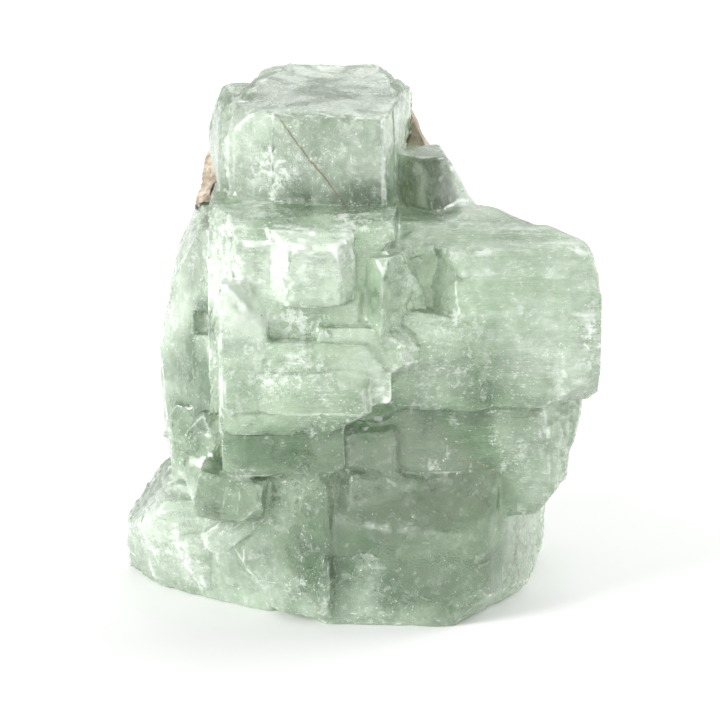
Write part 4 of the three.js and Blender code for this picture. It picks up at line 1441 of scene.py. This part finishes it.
# The point that the camera looks at, in millimetres.
AIM = (0.7, -2.1, 36.5)


def colour_property(name, description, default):
    """A colour, as linear red, green and blue."""
    return bpy.props.FloatVectorProperty(
        name=name, description=description, default=default, size=3, min=0, max=1, subtype="COLOR"
    )


def length_property(name, description, default, least, most):
    """A length, whose values are given here in millimetres."""
    return bpy.props.FloatProperty(
        name=name, description=description, default=default * MM, min=least * MM, max=most * MM,
        unit="LENGTH", precision=5,
    )


def share_property(name, description, default):
    """A share from 0 to 1."""
    return bpy.props.FloatProperty(
        name=name, description=description, default=default, min=0, max=1, subtype="FACTOR"
    )


def count_property(name, description, default, least, most):
    """A whole number."""
    return bpy.props.IntProperty(name=name, description=description, default=default, min=least, max=most)


def power_property(name, description, default):
    """The power of a light, in watts."""
    return bpy.props.FloatProperty(
        name=name, description=description, default=default, min=0, subtype="POWER", unit="POWER"
    )


class ClusterSettings(bpy.types.PropertyGroup):
    """Shape of the crystals."""

    mesh_size: length_property("Mesh size", "Grain of the surface that the relief is worked on", 0.34, 0.2, 2)
    triangles: count_property("Triangles", "Most triangles in the finished cluster", 188000, 20000, 500000)
    fine_ledges: count_property("Fine ledges", "Thin growth slabs added to each large crystal", 3, 0, 12)
    pocket: length_property("Pocket", "Hollows smaller than this are healed over", 5, 0, 20)
    growth_step: length_property("Growth steps", "Height of the growth terraces on the faces", 0.3, 0, 2)
    striation: length_property("Striation", "Depth of the striae along the c axis", 0.09, 0, 1)
    cleavage_pitch: length_property("Cleavage pitch", "Spacing of the cleavage steps on breaks", 1.3, 0.3, 6)
    hackle: length_property("Hackle", "Relief of broken faces", 0.3, 0, 2)
    waviness: length_property("Waviness", "Slow swell of all faces", 0.2, 0, 2)
    wear: count_property("Wear", "How far the edges are rounded", 2, 0, 60)
    melt: count_property("Melt", "How far the edges are rounded where they are softest", 18, 0, 60)
    wander: length_property("Wander", "How far edges and faces bend from straight", 0.75, 0, 4)
    nick: length_property("Nicks", "Depth of the nicks in the edges", 0.55, 0, 2)


class CrystalFinish(bpy.types.PropertyGroup):
    """Look of the crystal."""

    pale: colour_property("Pale green", "Colour of the clearer crystal", (0.61, 0.74, 0.585))
    # Deep green also paints shade: in the creases and where less light falls.
    deep: colour_property("Deep green", "Colour where it is deepest", (0.08, 0.16, 0.08))
    # Milky white also paints the glow along the edges.
    milk: colour_property("Milky white", "Colour of cloudy zones, flaws and bruises", (0.84, 0.93, 0.82))
    # Frost also paints glints in the flakes and grit, and in part a highlight along the edges.
    frost: colour_property("Frost", "Colour of frosted grains and bright flaws", (0.97, 1.0, 0.97))
    grey: colour_property("Grey", "Colour of the dull zones", (0.235, 0.265, 0.215))
    stain: colour_property("Stain", "Colour of brown cracks and specks", (0.30, 0.22, 0.13))
    tint: colour_property("Absorption colour", "Colour that light takes on inside", (0.85, 0.92, 0.80))
    density: bpy.props.FloatProperty(
        name="Absorption", description="How fast the colour builds up with depth, per metre", default=30,
        min=0,
    )
    clearness: share_property("Clearness", "Share of light that passes through", 0.72)
    glow: share_property("Glow", "Share of light that scatters under the surface", 0.25)
    glow_depth: length_property("Glow depth", "How deep the scattered light goes", 2, 0, 20)
    ior: bpy.props.FloatProperty(
        name="Refractive index", description="Apophyllite lies at about 1.535", default=1.535, min=1, max=3
    )
    frosting: share_property("Frosting", "Roughness of the clearest crystal", 0.11)
    gloss: share_property("Gloss", "Strength of the shine of the faces", 0.2)
    flaws: share_property("Flaws", "How much the flaws inside show", 0.6)


class RockSettings(bpy.types.PropertyGroup):
    """Shape and look of the matrix."""

    mesh_size: length_property("Mesh size", "Grain of the surface that the relief is worked on", 0.32, 0.2, 2)
    triangles: count_property("Triangles", "Most triangles in the finished matrix", 30000, 2000, 500000)
    wear: count_property("Wear", "How far the edges are rounded", 1, 0, 60)
    melt: count_property("Melt", "How far the edges are rounded where they are softest", 0, 0, 60)
    relief: length_property("Relief", "How rough the rock is", 0.7, 0, 3)
    brown: colour_property("Brown", "Main colour", (0.37, 0.30, 0.225))
    tan: colour_property("Tan", "Lighter zones", (0.61, 0.53, 0.42))
    # Dark also paints the shade in the pits.
    dark: colour_property("Dark", "Dark grains and pits", (0.15, 0.115, 0.09))
    fleck: colour_property("Fleck", "Pale grains", (0.62, 0.55, 0.44))


class ChipSettings(bpy.types.PropertyGroup):
    """Small crystals and chips on the broken places."""

    density: bpy.props.FloatProperty(
        name="Density", description="Chips on each square millimetre of a broken place", default=0.5, min=0,
        max=5,
    )
    smallest: length_property("Smallest", "Length of the smallest chip", 0.35, 0.1, 5)
    largest: length_property("Largest", "Length of the largest chip", 1.3, 0.1, 5)
    seed: bpy.props.IntProperty(name="Seed", description="Picks another scatter", default=7, min=0)


class StudioSettings(bpy.types.PropertyGroup):
    """Floor, light and camera."""

    floor: colour_property("Floor", "Colour of the floor", (0.93, 0.93, 0.93))
    sky: bpy.props.FloatProperty(
        name="Surround", description="Strength of the even white surround", default=0.67, min=0
    )
    key: power_property("Key light", "Power of the large light at the left", 72)
    fill: power_property("Fill light", "Power of the light at the right", 12)
    back: power_property("Back light", "Power of the light above and behind", 10)
    distance: length_property("Camera distance", "From the camera to the point it looks at", 480, 100, 5000)
    elevation: bpy.props.FloatProperty(
        name="Camera elevation", description="How far the camera looks down", default=math.radians(15),
        subtype="ANGLE",
    )
    lens: bpy.props.FloatProperty(
        name="Lens", description="Focal length on a 36 mm frame", default=150, min=20, unit="CAMERA"
    )


# ---- pieces ----

# The most faces that a finished piece may have.
MOST_FACES = 200000
# Edges that turn more than this are sharp, in degrees.
CRYSTAL_CREASE = 38
ROCK_CREASE = 60
# Pits in the rock: where the pattern starts them and where they are full, in the relief and in their painted
# shade, and how deep they are beside the lumps.
PIT_START = (0.1, 0.7)
PIT_SHADE_START = (0.0, 0.6)
PIT_DEPTH = 0.8
# A chip one millimetre long: a small stubby crystal with cut corners.
CHIP_SIZE = (0.62, 0.62, 1.0)
CHIP_CUT = 0.16
# The chips' tone (milky, deep green, grey), wear (edge, joint, rough) and streaks.
CHIP_TONE = (0.8, 0.1, 0.1)
CHIP_WORN = (0.5, 0.0, 0.3)
CHIP_STREAKS = 0.3
# The lights' places from the point that the camera looks at, and their sizes, in metres.
KEY_PLACE = ((-2.15, -1.2, 0.8), 1.1)
BACK_PLACE = ((0.2, 1.5, 1.5), 1.2)
FILL_PLACE = ((1.2, 0.5, 0.6), 0.7)
# The camera's frame, in millimetres, and the nearest that it sees, in metres.
FRAME_WIDTH = 36
NEAREST = 0.01
# The floor: half its width, in metres, how far it lies under the cluster, in millimetres, and how dull it is.
FLOOR_SIZE = 3
FLOOR_DROP = 0.05
FLOOR_ROUGHNESS = 0.9


def own_shift():
    """From the cluster's own frame to its place, in millimetres: the specimen stands over its middle."""
    plain = fuse("plain", parts_of(CRYSTALS, 0))
    points = points_of(plain.data)
    middle = (points.min(0) + points.max(0)) / 2
    bpy.data.meshes.remove(plain.data)
    cad_low, cad_high = (np.array(corner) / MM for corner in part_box("apophyllite_cluster"))
    shift = (cad_low + cad_high) / 2 - middle
    return np.array([shift[0], shift[1], 0])


def check_closed(piece):
    """Stops if a piece isn't a closed mesh of a fair size."""
    mesh = piece.data
    bm = bmesh.new()
    bm.from_mesh(mesh)
    open_edges = sum(len(edge.link_faces) != 2 for edge in bm.edges)
    bm.free()
    if not mesh.polygons or open_edges or len(mesh.polygons) > MOST_FACES:
        raise RuntimeError(f"{piece.name}: {len(mesh.polygons)} faces, {open_edges} open edges")


def finish_surface(mesh, material, crease):
    """Gives a mesh its material, smooth faces and sharp edges where it turns more than crease degrees."""
    mesh.materials.clear()
    mesh.materials.append(material)
    mesh.shade_smooth()
    mesh.set_sharp_from_angle(angle=math.radians(crease))
    mesh.update()


class MINERAL_OT_grow_cluster(bpy.types.Operator):
    """Grow the intergrown apophyllite crystals as one solid"""

    bl_idname = "mineral.grow_cluster"
    bl_label = "Grow the Cluster"

    def execute(self, context):
        """Builds the crystals, works their relief in and keeps their tones with the mesh."""
        s = context.scene.mineral_cluster
        shift = own_shift()
        parts = parts_of(CRYSTALS, s.fine_ledges, s.pocket / MM)
        piece = weather(fuse("apophyllite_crystals", parts), parts, cluster_relief, s)
        mesh = piece.data
        points = points_of(mesh)
        found = survey(points, parts)
        store(mesh, "tone", tone_of(points, found))
        # Nearness to the edges and to the creases between crystals: the material paints pale edge lines,
        # partly a highlight, and painted shade in the creases.
        rim = np.clip(1 - found["edge"], 0, 1)
        joint = smoothstep(1.0, 0.0, found["crease"])
        store(mesh, "worn", np.stack([rim, joint, broken_of(points, 0)], 1))
        store(mesh, "chips", broken_of(points, 1))
        store(mesh, "grain", corner_grain(mesh, parts), "CORNER")
        store(mesh, "streaky", streak_of(points, found))
        settle(piece, shift, s, "apophyllite_cluster")
        finish_surface(mesh, crystal_finish(context.scene.mineral_crystal, shift), CRYSTAL_CREASE)
        check_closed(piece)
        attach(piece, "root")
        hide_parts("apophyllite_cluster")
        return {"FINISHED"}


def rock_relief(points, found, s):
    """How far each point of the rock stands out from its flat face, in millimetres."""
    pits = smoothstep(*PIT_START, pattern("pits", points))
    rise = pattern("lumps", points) - PIT_DEPTH * pits
    return s.relief / MM * rise * smoothstep(*ROCK_REACH, found["off"])


class MINERAL_OT_grow_matrix(bpy.types.Operator):
    """Make the patch of brown rock that the crystals grew on"""

    bl_idname = "mineral.grow_matrix"
    bl_label = "Make the Matrix"

    def execute(self, context):
        """Takes the rock's exact solid and works its relief in."""
        s = context.scene.mineral_rock
        shift = own_shift()
        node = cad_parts["brown_matrix"]
        piece = new_object("brown_rock", node.data.copy())
        move_points(piece.data, points_of(piece.data) / MM - shift)
        weather(piece, parts_of(MATRIX, 0), rock_relief, s)
        # Painted shade in the pits, kept with the mesh for the material.
        pits = smoothstep(*PIT_SHADE_START, pattern("pits", points_of(piece.data)))
        store(piece.data, "pit", np.stack([pits, pits, pits], 1))
        settle(piece, shift, context.scene.mineral_cluster, "brown_matrix")
        finish_surface(piece.data, rock_finish(s), ROCK_CREASE)
        check_closed(piece)
        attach(piece, "root")
        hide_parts("brown_matrix")
        return {"FINISHED"}


def chip_tree():
    """Geometry nodes that scatter small crystals where the surface says so."""
    tree = bpy.data.node_groups.new("scatter chips", "GeometryNodeTree")
    tree.interface.new_socket("Geometry", in_out="OUTPUT", socket_type="NodeSocketGeometry")
    for name, kind in (
        ("Geometry", "Geometry"), ("Chip", "Object"), ("Density", "Float"), ("Smallest", "Float"),
        ("Largest", "Float"), ("Seed", "Int"), ("Material", "Material"),
    ):
        tree.interface.new_socket(name, in_out="INPUT", socket_type=f"NodeSocket{kind}")
    t = Nodes(tree)

    def given(name):
        """One of the tree's inputs."""
        return t.node("NodeGroupInput", output=name)

    share = t.node("GeometryNodeInputNamedAttribute", {"data_type": "FLOAT"}, {"Name": "chips"}, "Attribute")
    points = t.node(
        "GeometryNodeDistributePointsOnFaces", {"distribute_method": "RANDOM"},
        {"Mesh": given("Geometry"), "Density": share * given("Density"), "Seed": given("Seed")},
    )
    chip = t.node(
        "GeometryNodeObjectInfo", {"transform_space": "ORIGINAL"}, {"Object": given("Chip")}, "Geometry"
    )
    turn = t.node(
        "FunctionNodeRandomValue", {"data_type": "FLOAT_VECTOR"},
        {"Min": (0, 0, 0), "Max": (math.tau,) * 3, "Seed": given("Seed")}, "Value",
    )
    size = t.node(
        "FunctionNodeRandomValue", {"data_type": "FLOAT"},
        {"Min": given("Smallest"), "Max": given("Largest"), "Seed": given("Seed")}, "Value",
    )
    placed = t.node(
        "GeometryNodeInstanceOnPoints", None,
        {"Points": points, "Instance": chip, "Rotation": turn, "Scale": size},
    )
    real = t.node("GeometryNodeRealizeInstances", None, {"Geometry": placed})
    dressed = t.node("GeometryNodeSetMaterial", None, {"Geometry": real, "Material": given("Material")})
    t.node("NodeGroupOutput", None, {"Geometry": dressed})
    return tree


class MINERAL_OT_scatter_chips(bpy.types.Operator):
    """Scatter small crystals and chips over the broken and overgrown places"""

    bl_idname = "mineral.scatter_chips"
    bl_label = "Scatter Chips"

    def execute(self, context):
        """Scatters chips over the grown cluster and keeps them within its box."""
        s = context.scene.mineral_chips
        cluster = bpy.data.objects.get("apophyllite_crystals")
        if cluster is None:
            raise RuntimeError("the cluster has to be grown first")
        spec = crystal(at=(0, 0, 0), size=CHIP_SIZE, c="z", cut=CHIP_CUT)
        shape = new_object("chip_shape", clipped_box(0, spec, CHIP_SIZE, lambda name: CHIP_CUT).freeze().mesh)
        piece = new_object("crystal_chips", cluster.data.copy())
        tree = chip_tree()
        scatter = piece.modifiers.new("scatter", "NODES")
        scatter.node_group = tree
        sockets = {item.name: item.identifier for item in tree.interface.items_tree if item.in_out == "INPUT"}
        for name, value in (
            ("Chip", shape), ("Density", s.density / MM**2), ("Smallest", s.smallest), ("Largest", s.largest),
            ("Seed", s.seed), ("Material", cluster.data.materials[0]),
        ):
            scatter[sockets[name]] = value
        apply_modifiers(piece)
        bpy.data.objects.remove(shape)
        mesh = piece.data
        points = points_of(mesh)
        low, high = (np.array(corner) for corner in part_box("apophyllite_cluster"))
        move_points(mesh, np.clip(points, low, high))
        for name in ("tone", "worn", "grain", "streaky"):
            if name in mesh.attributes:
                mesh.attributes.remove(mesh.attributes[name])
        store(mesh, "tone", np.tile(CHIP_TONE, (len(points), 1)))
        store(mesh, "worn", np.tile(CHIP_WORN, (len(points), 1)))
        store(mesh, "grain", points / MM)
        store(mesh, "streaky", np.full(len(points), CHIP_STREAKS))
        check_closed(piece)
        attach(piece, "root")
        return {"FINISHED"}


def light_panel(name, place, size, power, aim):
    """A square light at a place from the point that it faces."""
    lamp = bpy.data.lights.new(name, "AREA")
    lamp.size = size
    lamp.energy = power
    holder = new_object(name, lamp)
    holder.location = aim + Vector(place)
    holder.rotation_euler = (aim - holder.location).to_track_quat("-Z", "Y").to_euler()


def add_camera(s, aim):
    """A camera that looks at a point from the front and a little above."""
    camera = bpy.data.cameras.new("camera")
    camera.lens = s.lens
    camera.sensor_width = FRAME_WIDTH
    camera.clip_start = NEAREST
    holder = new_object("camera", camera)
    back = Vector((0, -math.cos(s.elevation), math.sin(s.elevation)))
    holder.location = aim + back * s.distance
    holder.rotation_euler = (-back).to_track_quat("-Z", "Y").to_euler()
    return holder


class MINERAL_OT_set_stage(bpy.types.Operator):
    """Set the pale floor, the soft studio light and the camera"""

    bl_idname = "mineral.set_stage"
    bl_label = "Set the Stage"

    def execute(self, context):
        """Adds the floor, the even surround, three lights and the camera."""
        s = context.scene.mineral_studio
        bm = bmesh.new()
        bmesh.ops.create_grid(bm, x_segments=1, y_segments=1, size=FLOOR_SIZE)
        mesh = bpy.data.meshes.new("studio_floor")
        bm.to_mesh(mesh)
        bm.free()
        m = Finish("studio_floor")
        mesh.materials.append(m.close({"Base Color": opaque(s.floor), "Roughness": FLOOR_ROUGHNESS}))
        floor = new_object("studio_floor", mesh)
        floor.location.z = -FLOOR_DROP * MM

        world = bpy.data.worlds.new("studio")
        world.use_nodes = True
        background = world.node_tree.nodes["Background"]
        background.inputs["Color"].default_value = opaque((1, 1, 1))
        background.inputs["Strength"].default_value = s.sky
        context.scene.world = world
        context.scene.view_settings.view_transform = "Standard"

        aim = Vector(AIM) * MM
        light_panel("key_light", *KEY_PLACE, s.key, aim)
        light_panel("back_light", *BACK_PLACE, s.back, aim)
        light_panel("fill_light", *FILL_PLACE, s.fill, aim)
        context.scene.camera = add_camera(s, aim)
        return {"FINISHED"}


class MINERAL_PT_panel(bpy.types.Panel):
    """Lists the pieces and their settings"""

    bl_idname = "MINERAL_PT_panel"
    bl_label = "Apophyllite Cluster"
    bl_space_type = "VIEW_3D"
    bl_region_type = "UI"
    bl_category = "Mineral"

    def draw(self, context):
        """Draws each group of settings, with the buttons that use it."""
        for settings, operators in LAYOUT:
            box = self.layout.box()
            group = getattr(context.scene, settings)
            for name in group.__annotations__:
                box.prop(group, name)
            for operator in operators:
                box.operator(operator)


GROUPS = {
    "mineral_cluster": ClusterSettings, "mineral_crystal": CrystalFinish, "mineral_rock": RockSettings,
    "mineral_chips": ChipSettings, "mineral_studio": StudioSettings,
}
LAYOUT = (
    ("mineral_cluster", ()),
    ("mineral_crystal", ("mineral.grow_cluster",)),
    ("mineral_rock", ("mineral.grow_matrix",)),
    ("mineral_chips", ("mineral.scatter_chips",)),
    ("mineral_studio", ("mineral.set_stage",)),
)
CLASSES = (
    *GROUPS.values(), MINERAL_OT_grow_cluster, MINERAL_OT_grow_matrix, MINERAL_OT_scatter_chips,
    MINERAL_OT_set_stage, MINERAL_PT_panel,
)


def register():
    """Adds the settings, the operators and the panel to Blender."""
    for cls in CLASSES:
        bpy.utils.register_class(cls)
    for name, group in GROUPS.items():
        setattr(bpy.types.Scene, name, bpy.props.PointerProperty(type=group))


def unregister():
    """Takes them away again."""
    for name in GROUPS:
        delattr(bpy.types.Scene, name)
    for cls in reversed(CLASSES):
        bpy.utils.unregister_class(cls)


def main():
    """Makes the pieces and the stage."""
    register()
    bpy.ops.mineral.grow_cluster()
    bpy.ops.mineral.grow_matrix()
    bpy.ops.mineral.scatter_chips()
    bpy.ops.mineral.set_stage()


if __name__ == "__main__":
    main()
